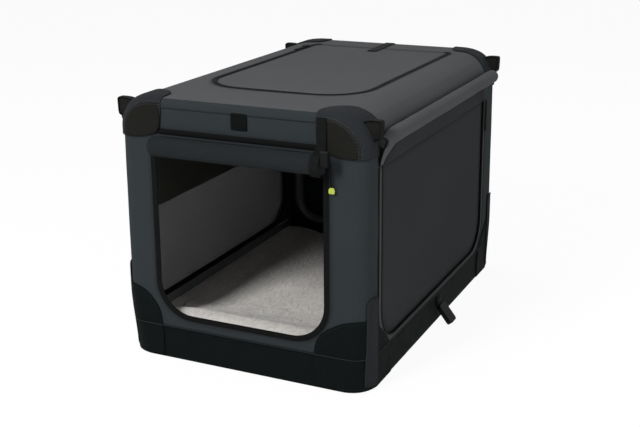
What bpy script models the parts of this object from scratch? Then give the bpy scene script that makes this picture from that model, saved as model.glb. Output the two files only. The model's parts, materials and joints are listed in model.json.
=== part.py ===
import math

import bmesh
import bpy
from mathutils import Matrix, Vector

for existing in list(bpy.data.objects):
    bpy.data.objects.remove(existing, do_unlink=True)

# Overall cover, in metres
width = 0.410
length = 0.620
height = 0.418
cloth = 0.002
seat_gap = 0.0003
edge_radius = 0.022
base_corner_radius = 0.040
base_flare_height = 0.110
roof_side_radius = 0.050
roof_end_radius = 0.010
corner_steps = 5
arc_steps = 7
half_w = width / 2
half_l = length / 2

# Steel tube
tube_radius = 0.0095
bore_clear = 0.0003
bore_radius = tube_radius + bore_clear
tube_sides_resolution = 4
bend_steps = 8

# Base tray
band_height = 0.055
board_thickness = 0.003
loop_bend_radius = 0.045
loop_z = cloth + seat_gap + tube_radius
loop_x = half_w - cloth - seat_gap - tube_radius
loop_y = half_l - cloth - seat_gap - tube_radius
board_x = loop_x - tube_radius - seat_gap
board_y = loop_y - tube_radius - seat_gap
board_corner_radius = loop_bend_radius - tube_radius
board_z = cloth + seat_gap

# Roof bows, stubs and rails
socket_wall = 0.0022
sleeve_radius = bore_radius + socket_wall
bow_z = height - cloth - seat_gap - sleeve_radius
stub_side_clear = 0.0065
bow_end_clear = 0.0045
stub_x = half_w - cloth - stub_side_clear - tube_radius
bow_y = half_l - cloth - bow_end_clear - tube_radius
bow_bend_radius = 0.038
rail_side_clear = 0.045
rail_x = stub_x - rail_side_clear
tee_half_width = 0.0125
tee_reach = 0.0320
rail_end_web = 0.0020
rail_end_y = bow_y - bore_radius - rail_end_web

# Leg frames
dock_web = 0.0029
leg_y = bow_y - 2 * bore_radius - dock_web
leg_bend_radius = 0.045
pivot_z = 0.055
leg_below_bow = 0.0827
leg_top_z = bow_z - leg_below_bow
stub_above_leg = 0.0049
stub_end_z = leg_top_z - stub_above_leg
dock_wall = 0.0019
dock_radius = bore_radius + dock_wall
dock_below_stub = 0.0190
dock_above_stub = 0.0250
dock_low_z = stub_end_z - dock_below_stub
dock_high_z = stub_end_z + dock_above_stub
dock_mouth = 0.0010
dock_park_gap = 0.0340
roof_travel = dock_low_z - loop_z - tube_radius - dock_park_gap

# Spring buttons
button_radius = 0.0035
button_hole_radius = button_radius + bore_clear
button_below_stub = 0.0095
button_z = stub_end_z - button_below_stub
button_nose = 0.0028
button_length = 0.0100
button_travel = 0.0036
button_slot = 0.0024
button_sides = 16
slot_round_share = 0.99

# Hinge clips at the foot of each leg frame
clip_side_clear = 0.077
clip_x = stub_x - clip_side_clear
clip_thickness = 0.016
clip_wall = 0.0034
bar_strip = 0.0090
clip_half_depth = bore_radius + clip_wall

# Mat
mat_thickness = 0.0300
mat_side_clear = 0.0080
mat_x = board_x - mat_side_clear
mat_end_clear = 0.0020
mat_y = leg_y - clip_half_depth - mat_end_clear
mat_z = board_z + board_thickness + seat_gap
mat_corner_radius = 0.024
mat_crown = 0.0045
mat_tuck_share = 0.22
mat_side_shares = ((0.0, 1.0), (0.22, 0.25), (0.55, 0.0), (0.86, 0.3), (1.0, 1.0))
mat_crown_shares = (0.93, 0.82, 0.62, 0.34, 0.08)

# Openings, as shares of the cover's width, length and height
door_left_share = -0.359
door_right_share = 0.354
door_low = 0.070
door_drop = 0.060
door_high = height - door_drop
door_low_radius = 0.060
door_high_radius = 0.018
window_half_share = 0.374
window_low = 0.062
window_drop = 0.083
window_high = height - window_drop
window_low_radius = 0.055
window_high_radius = 0.014
rear_door_half_share = 0.354
rear_door_drop = 0.083
rear_door_high = height - rear_door_drop
hatch_left_share = -0.3200
hatch_right_share = 0.3350
hatch_front_share = -0.3130
hatch_rear_share = 0.395
hatch_front_radius = 0.070
hatch_rear_radius = 0.015
front_seam_drop = 0.014
wall_lap = 0.002
wall_reach = edge_radius + wall_lap
cut_reach_share = 0.9

# Caps, boots and corner strips
patch = 0.0022
cap_x = 0.080
cap_y = 0.080
cap_z = 0.0625
boot_x = 0.068
boot_y = 0.100
boot_z = 0.112
strip_near_share = 0.077
strip_width = 0.036
strip_top = 0.152
ball_segments = 28
ball_rings = 14

# Rolled flaps
front_roll_radius = 0.0155
front_roll_drop = 0.0695
front_roll_z = height - front_roll_drop
front_roll_left_share = -0.330
front_roll_right_share = 0.352
side_roll_radius = 0.0120
side_roll_angle = math.radians(12)
side_roll_front_share = -0.4450
side_roll_rear_share = 0.3870
roll_cloth = 0.0016
roll_pitch = 0.0032
roll_core = 0.0040
roll_turn_steps = 18
front_roll_finish = math.radians(20)
side_roll_finish = math.radians(160)

# Straps, label and pulls
webbing = 0.0014
roll_strap_width = 0.016
roll_strap_share = 0.316
roll_strap_drop = 0.022
roll_strap_top = height - roll_strap_drop
strap_start = math.radians(62)
strap_end = math.radians(292)
hook_width = 0.0115
hook_height = 0.0235
hook_above_roll = 0.0115
hook_depth = 0.0070
hook_corner_radius = 0.0024
hook_reach_share = 0.55
loop_width = 0.014
loop_inset = 0.018
loop_reach = 0.0150
loop_low = math.radians(20)
loop_high = math.radians(46)
label_share = 0.012
label_width = 0.026
label_height = 0.025
label_drop = 0.012
label_high_z = height - label_drop
label_thickness = 0.0009
roof_strap_share = -0.005
roof_strap_width = 0.020
roof_strap_gap = 0.004
side_strap_width = 0.020
side_strap_low = 0.016
side_strap_high = 0.044
buckle_width = 0.026
buckle_length = 0.036
buckle_depth = 0.0080
buckle_tilt = math.radians(38)
buckle_corner_radius = 0.0048
front_pull_share = 0.3724
front_pull_below_roof = 0.070
front_pull_top = height - front_pull_below_roof
front_pull_cord = 0.0020
front_pull_drop = 0.0345
tab_width = 0.011
tab_height = 0.0095
tab_depth = 0.0030
side_pull_share = 0.390
side_pull_below_roof = 0.083
side_pull_top = height - side_pull_below_roof
side_pull_drop = 0.056
side_pull_width = 0.0070
side_pull_depth = 0.0024
slider_length = 0.014
slider_width = 0.0090
slider_depth = 0.0036
slider_share = 0.330
hatch_pull_length = 0.036
hatch_pull_width = 0.0080
hatch_pull_depth = 0.0022
small_bevel = 0.0008
fine_bevel = 0.0004
weld = 0.00001
smooth_angle = math.radians(35)


def collection(name):
    made = bpy.data.collections.new(name)
    bpy.context.scene.collection.children.link(made)
    return made


parts = collection("soft_folding_crate")
cutters = collection("cutters")


def material(name, colour, roughness, metallic=0.0):
    made = bpy.data.materials.new(name)
    made.use_nodes = True
    shader = made.node_tree.nodes["Principled BSDF"]
    shader.inputs["Base Color"].default_value = (*colour, 1.0)
    shader.inputs["Roughness"].default_value = roughness
    shader.inputs["Metallic"].default_value = metallic
    return made


def link(name, mesh, home, shade=None):
    made = bpy.data.objects.new(name, mesh)
    home.objects.link(made)
    if shade:
        mesh.materials.append(shade)
    if home == cutters:
        made.hide_render = True
        made.display_type = "WIRE"
    return made


def object_from(name, bm, home, shade=None):
    bmesh.ops.recalc_face_normals(bm, faces=bm.faces)
    mesh = bpy.data.meshes.new(name)
    bm.to_mesh(mesh)
    bm.free()
    return link(name, mesh, home, shade)


def trim(target, operation, tool):
    cut = target.modifiers.new(operation.lower(), "BOOLEAN")
    cut.operation = operation
    cut.object = tool
    cut.solver = "EXACT"


def bevel(target, amount, segments=2):
    edge = target.modifiers.new("edge", "BEVEL")
    edge.width = amount
    edge.segments = segments
    edge.limit_method = "ANGLE"
    edge.angle_limit = math.radians(40)


# Outlines
def arc(centre_x, centre_y, radius, start, end, steps):
    made = []
    for step in range(steps + 1):
        angle = start + (end - start) * step / steps
        made.append((centre_x + radius * math.cos(angle), centre_y + radius * math.sin(angle)))
    return made


def rounded(left, right, low, high, low_radius, high_radius=None, steps=corner_steps):
    top = low_radius if high_radius is None else high_radius
    quarter = math.pi / 2
    made = arc(right - low_radius, low + low_radius, low_radius, -quarter, 0, steps)
    made += arc(right - top, high - top, top, 0, quarter, steps)
    made += arc(left + top, high - top, top, quarter, 2 * quarter, steps)
    made += arc(left + low_radius, low + low_radius, low_radius, 2 * quarter, 3 * quarter, steps)
    return made


# Local X, Y and Z of a flat outline, in the frame of the crate, for each direction of extrusion
frames = {
    "X": Matrix(((0, 0, 1), (1, 0, 0), (0, 1, 0))).to_4x4(),
    "Y": Matrix(((1, 0, 0), (0, 0, 1), (0, 1, 0))).to_4x4(),
    "Z": Matrix.Identity(4),
}


def mesh_from_curve(name, line, home, shade=None, matrix=None):
    carrier = bpy.data.objects.new(name, line)
    bpy.context.scene.collection.objects.link(carrier)
    mesh = bpy.data.meshes.new_from_object(carrier)
    bpy.data.objects.remove(carrier, do_unlink=True)
    bm = bmesh.new()
    bm.from_mesh(mesh)
    bpy.data.meshes.remove(mesh)
    bmesh.ops.remove_doubles(bm, verts=bm.verts, dist=weld)
    if matrix:
        bmesh.ops.transform(bm, matrix=matrix, verts=bm.verts)
    return object_from(name, bm, home, shade)


def prism(name, outline, axis, start, end, home, shade=None):
    line = bpy.data.curves.new(name, "CURVE")
    line.dimensions = "2D"
    line.fill_mode = "BOTH"
    line.extrude = abs(end - start) / 2
    spline = line.splines.new("POLY")
    spline.points.add(len(outline) - 1)
    for knot, point in zip(spline.points, outline, strict=True):
        knot.co = (*point, 0.0, 1.0)
    spline.use_cyclic_u = True
    place = frames[axis] @ Matrix.Translation((0, 0, (start + end) / 2))
    return mesh_from_curve(name, line, home, shade, place)


def block(name, x_range, y_range, z_range, home, shade=None):
    bm = bmesh.new()
    bmesh.ops.create_cube(bm, size=1.0)
    ranges = [sorted(pair) for pair in (x_range, y_range, z_range)]
    bmesh.ops.scale(bm, vec=[high - low for low, high in ranges], verts=bm.verts)
    bmesh.ops.translate(bm, vec=[(low + high) / 2 for low, high in ranges], verts=bm.verts)
    return object_from(name, bm, home, shade)


def rod(name, centre, radius, axis, start, end, home, shade=None, sides=32):
    bm = bmesh.new()
    bmesh.ops.create_cone(
        bm,
        cap_ends=True,
        segments=sides,
        radius1=radius,
        radius2=radius,
        depth=abs(end - start),
    )
    middle = Matrix.Translation((*centre, (start + end) / 2))
    bmesh.ops.transform(bm, matrix=frames[axis] @ middle, verts=bm.verts)
    return object_from(name, bm, home, shade)


def ball(name, centre, sizes, home):
    bm = bmesh.new()
    bmesh.ops.create_uvsphere(bm, u_segments=ball_segments, v_segments=ball_rings, radius=1.0)
    bmesh.ops.transform(bm, matrix=Matrix.Diagonal((*sizes, 1.0)), verts=bm.verts)
    bmesh.ops.translate(bm, vec=Vector(centre), verts=bm.verts)
    return object_from(name, bm, home)


# A closed loft through rings that have equal counts of points
def loft(name, rings, home, shade=None):
    bm = bmesh.new()
    loops = [[bm.verts.new(point) for point in ring_points] for ring_points in rings]
    count = len(loops[0])
    for low, high in zip(loops[:-1], loops[1:], strict=True):
        for step in range(count):
            after = (step + 1) % count
            bm.faces.new((low[step], low[after], high[after], high[step]))
    bm.faces.new(loops[0])
    bm.faces.new(loops[-1])
    bmesh.ops.triangulate(bm, faces=bm.faces[:])
    return object_from(name, bm, home, shade)


# Bent tubes: a path with filleted corners, swept as a bevelled curve
def bent_path(points, radius, closed=False):
    count = len(points)
    made = []
    for index, point in enumerate(points):
        here = Vector(point)
        if not closed and index in (0, count - 1):
            made.append(here)
            continue
        before = (Vector(points[index - 1]) - here).normalized()
        after = (Vector(points[(index + 1) % count]) - here).normalized()
        half = before.angle(after) / 2
        centre = here + (before + after).normalized() * radius / math.sin(half)
        start = here + before * radius / math.tan(half) - centre
        end = here + after * radius / math.tan(half) - centre
        for step in range(bend_steps + 1):
            turned = start.slerp(end, step / bend_steps).normalized()
            made.append(centre + turned * radius)
    return made


def tube(name, points, radius, home, shade=None, closed=False):
    line = bpy.data.curves.new(name, "CURVE")
    line.dimensions = "3D"
    line.bevel_depth = radius
    line.bevel_resolution = tube_sides_resolution
    line.use_fill_caps = True
    spline = line.splines.new("POLY")
    spline.points.add(len(points) - 1)
    for knot, point in zip(spline.points, points, strict=True):
        knot.co = (*point, 1.0)
    spline.use_cyclic_u = closed
    return mesh_from_curve(name, line, home, shade)


# The cover's outer surface at one height, drawn in by an inset
def ring(z, inset):
    top = height - inset
    side = roof_side_radius - inset
    end = roof_end_radius - inset
    across = half_w - inset
    along = half_l - inset
    side_rise = min(max(z - (top - side), 0.0), side)
    end_rise = min(max(z - (top - end), 0.0), end)
    across = across - side + math.sqrt(max(side * side - side_rise * side_rise, 0.0))
    along = along - end + math.sqrt(max(end * end - end_rise * end_rise, 0.0))
    flare = min(max(1 - z / base_flare_height, 0.0), 1.0)
    radius = edge_radius + (base_corner_radius - edge_radius) * flare * flare * (3 - 2 * flare) - inset
    return rounded(-across, across, -along, along, radius)


def cover(name, inset, bottom, home, shade=None):
    top = height - inset
    side = roof_side_radius - inset
    end = roof_end_radius - inset
    quarter = math.pi / 2
    levels = {bottom}
    levels.update(base_flare_height * step / 5 for step in range(1, 6))
    levels.update(top - side + side * math.sin(quarter * step / arc_steps) for step in range(arc_steps + 1))
    levels.update(top - end + end * math.sin(quarter * step / 4) for step in range(4))
    rings = [[(x, y, z) for x, y in ring(z, inset)] for z in sorted(levels)]
    return loft(name, rings, home, shade)


# Materials
roof_cloth = material("roof_cloth", (0.095, 0.097, 0.105), 0.85)
wall_cloth = material("wall_cloth", (0.031, 0.036, 0.041), 0.85)
mesh_cloth = material("mesh_cloth", (0.036, 0.038, 0.044), 0.80)
band_cloth = material("band_cloth", (0.010, 0.014, 0.015), 0.80)
cap_cloth = material("cap_cloth", (0.016, 0.016, 0.014), 0.80)
fleece = material("fleece", (0.36, 0.33, 0.30), 0.95)
board = material("board", (0.05, 0.05, 0.05), 0.70)
steel = material("coated_steel", (0.22, 0.23, 0.24), 0.35, 0.8)
plastic = material("black_plastic", (0.012, 0.012, 0.012), 0.40)
webbing_black = material("black_webbing", (0.010, 0.010, 0.010), 0.75)
bright_steel = material("bright_steel", (0.60, 0.60, 0.60), 0.25, 1.0)
accent = material("accent_rubber", (0.60, 0.70, 0.08), 0.50)
patch_cloth = material("patch_cloth", (0.009, 0.011, 0.010), 0.70)

reach = length
inner_cover = cover("inner_cover_cut", cloth, cloth, cutters)
patch_inner = cover("patch_inner_cut", -seat_gap, -seat_gap - cloth, cutters)

# Base frame
loop_corners = [(-loop_x, -loop_y), (loop_x, -loop_y), (loop_x, loop_y), (-loop_x, loop_y)]
loop_path = bent_path([(x, y, loop_z) for x, y in loop_corners], loop_bend_radius, closed=True)
base_loop = tube("base_loop", loop_path, tube_radius, parts, steel, closed=True)
loop_cut = tube("loop_cut", loop_path, bore_radius, cutters, closed=True)

floor_board = prism(
    "floor_board",
    rounded(-board_x, board_x, -board_y, board_y, board_corner_radius),
    "Z",
    board_z,
    board_z + board_thickness,
    parts,
    board,
)

base_tray = cover("base_tray", 0.0, 0.0, parts, band_cloth)
trim(base_tray, "DIFFERENCE", inner_cover)
trim(
    base_tray,
    "INTERSECT",
    block("tray_zone", (-reach, reach), (-reach, reach), (-cloth, band_height), cutters),
)

clip_high = pivot_z + bore_radius + clip_wall
clip_out_y = half_l - cloth - 2 * seat_gap
clip_in_y = leg_y - clip_half_depth
lug_outline = rounded(clip_in_y, clip_out_y, loop_z, clip_high, small_bevel, 2 * clip_wall, 4)
for end_name, y_sign in (("front", -1), ("rear", 1)):
    bar_outline = [(y_sign * y, z) for y, z in lug_outline]
    half_bar = clip_x + clip_thickness / 2
    hinge_bar = prism(end_name + "_hinge_bar", bar_outline, "X", -half_bar, half_bar, parts, plastic)
    window_x = clip_x - clip_thickness / 2
    between = block(
        end_name + "_between_lugs",
        (-window_x, window_x),
        (y_sign * (leg_y - 2 * clip_half_depth), y_sign * reach),
        (loop_z + bar_strip, height),
        cutters,
    )
    trim(hinge_bar, "DIFFERENCE", between)
    trim(hinge_bar, "DIFFERENCE", loop_cut)
    pivot_cut = rod(end_name + "_pivot_cut", (y_sign * leg_y, pivot_z), bore_radius, "X", -half_w, half_w, cutters)
    trim(hinge_bar, "DIFFERENCE", pivot_cut)


# Fleece mat: drawn-in sides, round corners and a crowned top
mat_outline = rounded(-mat_x, mat_x, -mat_y, mat_y, mat_corner_radius)
mat_tuck = mat_thickness * mat_tuck_share
mat_rings = []
for rise_share, drawn_share in mat_side_shares:
    across = (mat_x - mat_tuck * drawn_share) / mat_x
    along = (mat_y - mat_tuck * drawn_share) / mat_y
    level = mat_z + mat_thickness * rise_share
    mat_rings.append([(x * across, y * along, level) for x, y in mat_outline])
mat_top = mat_rings[-1]
for share in mat_crown_shares:
    level = mat_z + mat_thickness + mat_crown * math.cos(math.pi / 2 * share)
    mat_rings.append([(x * share, y * share, level) for x, y, z in mat_top])
mat = loft("mat", mat_rings, parts, fleece)

# Walls: slices of the cover with their openings
side_top_z = height - roof_side_radius
wall_low = band_height + seat_gap
arch_half = half_w - roof_side_radius
seam_z = height - front_seam_drop
wall_y = half_l - wall_reach
edge_out = half_w + 4 * cloth


def end_outline(grow):
    return [
        (-edge_out, wall_low - grow),
        (edge_out, wall_low - grow),
        (edge_out, side_top_z + grow),
        (arch_half, seam_z + grow),
        (-arch_half, seam_z + grow),
        (-edge_out, side_top_z + grow),
    ]


door_left = width * door_left_share
door_right = width * door_right_share
rear_half = width * rear_door_half_share
doorway = rounded(door_left, door_right, door_low, door_high, door_low_radius, door_high_radius)
rear_opening = rounded(-rear_half, rear_half, door_low, rear_door_high, door_low_radius, window_high_radius)

roof_panel = cover("roof_panel", 0.0, 0.0, parts, roof_cloth)
trim(roof_panel, "DIFFERENCE", inner_cover)
roof_zone = block(
    "roof_zone",
    (-reach, reach),
    (-reach, reach),
    (side_top_z + seat_gap, height + cloth),
    cutters,
)
trim(roof_panel, "INTERSECT", roof_zone)

for name, sign, opening in (("front_wall", -1, doorway), ("rear_wall", 1, rear_opening)):
    wall = cover(name, 0.0, 0.0, parts, wall_cloth)
    trim(wall, "DIFFERENCE", inner_cover)
    open_start = sign * (wall_y - 4 * cloth)
    trim(wall, "DIFFERENCE", prism(name + "_opening", opening, "Y", open_start, sign * reach * cut_reach_share, cutters))
    zone = prism(name + "_zone", end_outline(0.0), "Y", sign * wall_y, sign * reach, cutters)
    trim(wall, "INTERSECT", zone)
    clear = prism(name + "_clear", end_outline(seat_gap), "Y", sign * (wall_y - seat_gap), sign * reach, cutters)
    trim(roof_panel, "DIFFERENCE", clear)

window_half = length * window_half_share
window = rounded(-window_half, window_half, window_low, window_high, window_low_radius, window_high_radius)
side_wall_y = wall_y - seat_gap
for name, sign in (("right_wall", 1), ("left_wall", -1)):
    wall = cover(name, 0.0, 0.0, parts, wall_cloth)
    trim(wall, "DIFFERENCE", inner_cover)
    near = sign * (half_w - wall_reach)
    far = sign * reach
    zone = block(
        name + "_zone",
        (near, far),
        (-side_wall_y, side_wall_y),
        (wall_low, side_top_z),
        cutters,
    )
    trim(wall, "INTERSECT", zone)
    open_start = near - sign * 4 * cloth
    trim(wall, "DIFFERENCE", prism(name + "_opening", window, "X", open_start, far * cut_reach_share, cutters))

# Door panels that fill the side windows and the rear doorway
inner_window = rounded(
    -window_half + seat_gap,
    window_half - seat_gap,
    window_low + seat_gap,
    window_high - seat_gap,
    window_low_radius - seat_gap,
    window_high_radius - seat_gap,
)
right_mesh_door = prism("right_mesh_door", inner_window, "X", half_w - cloth, half_w, parts, mesh_cloth)
left_mesh_door = prism("left_mesh_door", inner_window, "X", cloth - half_w, -half_w, parts, mesh_cloth)
inner_rear = rounded(
    -rear_half + seat_gap,
    rear_half - seat_gap,
    door_low + seat_gap,
    rear_door_high - seat_gap,
    door_low_radius - seat_gap,
    window_high_radius - seat_gap,
)
rear_door = prism("rear_door", inner_rear, "Y", half_l - cloth, half_l, parts, mesh_cloth)

# Roof hatch
hatch_left = width * hatch_left_share
hatch_right = width * hatch_right_share
hatch_front = length * hatch_front_share
hatch_rear = length * hatch_rear_share
hatch_hole = rounded(hatch_left, hatch_right, hatch_front, hatch_rear, hatch_front_radius, hatch_rear_radius)
trim(roof_panel, "DIFFERENCE", prism("hatch_cut", hatch_hole, "Z", side_top_z, height + cloth, cutters))
hatch_outline = rounded(
    hatch_left + seat_gap,
    hatch_right - seat_gap,
    hatch_front + seat_gap,
    hatch_rear - seat_gap,
    hatch_front_radius - seat_gap,
    hatch_rear_radius - seat_gap,
)
hatch_panel = prism("hatch_panel", hatch_outline, "Z", height - cloth, height, parts, roof_cloth)

# Leg frames, spring buttons and docks
button_hole_depth = button_length + button_travel + bore_clear
for end_name, y_sign in (("front", -1), ("rear", 1)):
    foot = [
        (-stub_x, y_sign * leg_y, leg_top_z),
        (-stub_x, y_sign * leg_y, pivot_z),
        (stub_x, y_sign * leg_y, pivot_z),
        (stub_x, y_sign * leg_y, leg_top_z),
    ]
    frame = tube(end_name + "_leg_frame", bent_path(foot, leg_bend_radius), tube_radius, parts, steel)
    arch = [
        (-stub_x, y_sign * bow_y, stub_end_z),
        (-stub_x, y_sign * bow_y, bow_z),
        (stub_x, y_sign * bow_y, bow_z),
        (stub_x, y_sign * bow_y, stub_end_z),
    ]
    bow_path = bent_path(arch, bow_bend_radius)
    tube(end_name + "_bow", bow_path, tube_radius, parts, steel)
    tube(end_name + "_bow_cut", bow_path, bore_radius, cutters)
    for side_name, x_sign in (("left", -1), ("right", 1)):
        corner = end_name + "_" + side_name
        x = x_sign * stub_x
        nose_y = y_sign * (leg_y + tube_radius + button_nose)
        tail_y = y_sign * (leg_y + tube_radius + button_nose - button_length)
        button = rod(corner + "_button", (x, button_z), button_radius, "Y", nose_y, tail_y, parts, bright_steel, button_sides)
        bevel(button, fine_bevel, 1)
        hole_y = y_sign * (leg_y + tube_radius + button_nose - button_hole_depth)
        out_y = y_sign * (leg_y + tube_radius + cloth)
        hole = rod(corner + "_hole", (x, button_z), button_hole_radius, "Y", hole_y, out_y, cutters, sides=button_sides)
        trim(frame, "DIFFERENCE", hole)
        stadium = arc(x, bow_y, dock_radius, 0, math.pi, 2 * bend_steps)
        stadium += [(x - dock_radius, leg_y - dock_mouth), (x + dock_radius, leg_y - dock_mouth)]
        dock_outline = [(first, y_sign * second) for first, second in stadium]
        dock = prism(corner + "_dock", dock_outline, "Z", dock_low_z, dock_high_z, parts, plastic)
        stub_bore = rod(
            corner + "_stub_bore",
            (x, y_sign * bow_y),
            bore_radius,
            "Z",
            stub_end_z - seat_gap,
            dock_high_z + cloth,
            cutters,
        )
        leg_bore = rod(
            corner + "_leg_bore",
            (x, y_sign * leg_y),
            bore_radius,
            "Z",
            dock_low_z - cloth,
            dock_high_z + cloth,
            cutters,
        )
        trim(dock, "DIFFERENCE", stub_bore)
        trim(dock, "DIFFERENCE", leg_bore)
        slot = rounded(
            x - button_hole_radius,
            x + button_hole_radius,
            button_z - button_hole_radius,
            button_z + button_hole_radius + button_slot,
            button_hole_radius * slot_round_share,
        )
        slot_end = y_sign * (leg_y + tube_radius + button_nose + bore_clear)
        trim(dock, "DIFFERENCE", prism(corner + "_slot", slot, "Y", y_sign * leg_y, slot_end, cutters))

# Rails and the tee clips that join them to the bows
for side_name, x_sign in (("left", -1), ("right", 1)):
    ends = [(x_sign * rail_x, -rail_end_y, bow_z), (x_sign * rail_x, rail_end_y, bow_z)]
    tube(side_name + "_rail", ends, tube_radius, parts, steel)

tee_inner_y = bow_y - tee_reach
for end_name, y_sign in (("front", -1), ("rear", 1)):
    for side_name, x_sign in (("left", -1), ("right", 1)):
        corner = end_name + "_" + side_name
        x = x_sign * rail_x
        sleeve = rod(
            corner + "_tee",
            (y_sign * bow_y, bow_z),
            sleeve_radius,
            "X",
            x - tee_half_width,
            x + tee_half_width,
            parts,
            plastic,
        )
        socket = rod(
            corner + "_socket",
            (x, bow_z),
            sleeve_radius,
            "Y",
            y_sign * bow_y,
            y_sign * tee_inner_y,
            cutters,
        )
        trim(sleeve, "UNION", socket)
        trim(sleeve, "DIFFERENCE", cutters.objects[end_name + "_bow_cut"])
        bore = rod(
            corner + "_rail_bore",
            (x, bow_z),
            bore_radius,
            "Y",
            y_sign * (rail_end_y + seat_gap),
            y_sign * (tee_inner_y - cloth),
            cutters,
        )
        trim(sleeve, "DIFFERENCE", bore)

# Corner caps on the roof and boots at the base
for end_name, y_sign in (("front", -1), ("rear", 1)):
    for side_name, x_sign in (("left", -1), ("right", 1)):
        corner = end_name + "_" + side_name
        cap = cover(corner + "_cap", -seat_gap - patch, 0.0, parts, cap_cloth)
        trim(cap, "DIFFERENCE", patch_inner)
        centre = (x_sign * half_w, y_sign * half_l, height)
        trim(cap, "INTERSECT", ball(corner + "_cap_zone", centre, (cap_x, cap_y, cap_z), cutters))
        boot = cover(corner + "_boot", -seat_gap - patch, 0.0, parts, band_cloth)
        trim(boot, "DIFFERENCE", patch_inner)
        foot_centre = (x_sign * half_w, y_sign * half_l, 0.0)
        zone = ball(corner + "_boot_zone", foot_centre, (boot_x, boot_y, boot_z), cutters)
        strip_near = half_l - length * strip_near_share
        strip_far = strip_near + strip_width
        inner_x = x_sign * (half_w - edge_radius)
        outer_x = x_sign * (half_w + 4 * cloth)
        strip = block(
            corner + "_strip_zone",
            (inner_x, outer_x),
            (y_sign * strip_near, y_sign * strip_far),
            (cloth, strip_top),
            cutters,
        )
        trim(zone, "UNION", strip)
        trim(boot, "INTERSECT", zone)


# Rolled flaps: a spiral of cloth drawn out along the roll
def spiral_outline(centre_a, centre_b, outer, finish, turn):
    turns = (outer - roll_core) / roll_pitch
    steps = int(turns * roll_turn_steps)
    outside = []
    inside = []
    for step in range(steps + 1):
        back = step / roll_turn_steps
        radius = outer - roll_pitch * back
        angle = finish + turn * 2 * math.pi * back
        outside.append((centre_a + radius * math.cos(angle), centre_b + radius * math.sin(angle)))
        inner = radius - roll_cloth
        inside.append((centre_a + inner * math.cos(angle), centre_b + inner * math.sin(angle)))
    return outside + inside[::-1]


front_roll_y = -half_l - seat_gap - front_roll_radius
roll_left = width * front_roll_left_share
roll_right = width * front_roll_right_share
front_spiral = spiral_outline(front_roll_y, front_roll_z, front_roll_radius, front_roll_finish, -1)
front_roll = prism("front_roll", front_spiral, "X", roll_left, roll_right, parts, wall_cloth)
roll_front = length * side_roll_front_share
roll_rear = length * side_roll_rear_share
over_patch = patch + 2 * seat_gap
shoulder_x = half_w - roof_side_radius
shoulder_z = height - roof_side_radius
shoulder_seat = roof_side_radius + over_patch
side_roll_x = shoulder_x + (shoulder_seat + side_roll_radius) * math.cos(side_roll_angle)
side_roll_z = shoulder_z + (shoulder_seat + side_roll_radius) * math.sin(side_roll_angle)
for side_name, x_sign in (("right", 1), ("left", -1)):
    spiral = spiral_outline(side_roll_x, side_roll_z, side_roll_radius, side_roll_finish, 1)
    outline = [(x_sign * first, second) for first, second in spiral]
    prism(side_name + "_roll", outline, "Y", roll_front, roll_rear, parts, roof_cloth)

# Webbing loops that stand on the caps, beside the ends of the side rolls
def loop_outline(x_sign):
    rim = shoulder_seat + loop_reach
    thick = webbing / shoulder_seat
    outer = arc(shoulder_x, shoulder_z, rim, loop_low, loop_high, bend_steps)
    inner = arc(shoulder_x, shoulder_z, rim - webbing, loop_high - thick, loop_low + thick, bend_steps)
    feet = [
        arc(shoulder_x, shoulder_z, shoulder_seat, angle, angle, 1)[0]
        for angle in (loop_low, loop_high, loop_high - thick, loop_low + thick)
    ]
    whole = [feet[0]] + outer + feet[1:3] + inner + [feet[3]]
    return [(x_sign * x, z) for x, z in whole]


for side_name, x_sign in (("right", 1), ("left", -1)):
    outline = loop_outline(x_sign)
    for end_name, start in (
        ("front", -half_l + loop_inset),
        ("rear", half_l - loop_inset - loop_width),
    ):
        prism(
            end_name + "_" + side_name + "_loop",
            outline,
            "Y",
            start,
            start + loop_width,
            parts,
            webbing_black,
        )

# Strap and hook that hold the front roll
strap_in = front_roll_radius + seat_gap
strap_out = strap_in + webbing
strap_x = width * roll_strap_share
wall_face = -half_l - seat_gap
strap_wall = -half_l - over_patch
outer_arc = arc(front_roll_y, front_roll_z, strap_out, strap_start, strap_end, 2 * bend_steps)
inner_arc = arc(front_roll_y, front_roll_z, strap_in, strap_end, strap_start, 2 * bend_steps)
strap_outline = [(strap_wall, roll_strap_top), (strap_wall - webbing, roll_strap_top)]
strap_outline += [(strap_wall - webbing, front_roll_z + strap_out * math.sin(strap_start) + webbing)]
strap_outline += outer_arc
strap_outline += inner_arc
strap_outline += [(strap_wall, front_roll_z + strap_out)]
roll_strap = prism(
    "roll_strap",
    strap_outline,
    "X",
    strap_x,
    strap_x + roll_strap_width,
    parts,
    webbing_black,
)

hook_left = max(strap_x + roll_strap_width, roll_right) + seat_gap
hook_y = front_roll_y - strap_out * hook_reach_share
hook_outline = rounded(
    hook_y - hook_depth / 2,
    hook_y + hook_depth / 2,
    front_roll_z + hook_above_roll - hook_height / 2,
    front_roll_z + hook_above_roll + hook_height / 2,
    hook_corner_radius,
)
roll_hook = prism("roll_hook", hook_outline, "X", hook_left, hook_left + hook_width, parts, plastic)

# Label patch and roof strap
label_x = width * label_share
label_patch = block(
    "label_patch",
    (label_x - label_width / 2, label_x + label_width / 2),
    (wall_face - label_thickness, wall_face),
    (label_high_z - label_height, label_high_z),
    parts,
    patch_cloth,
)
strap_mid = width * roof_strap_share
strap_rear = half_l - roof_end_radius
strap_face = height + seat_gap
roof_strap = block(
    "roof_strap",
    (strap_mid - roof_strap_width / 2, strap_mid + roof_strap_width / 2),
    (hatch_rear + roof_strap_gap, strap_rear),
    (strap_face, strap_face + webbing),
    parts,
    webbing_black,
)

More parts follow.
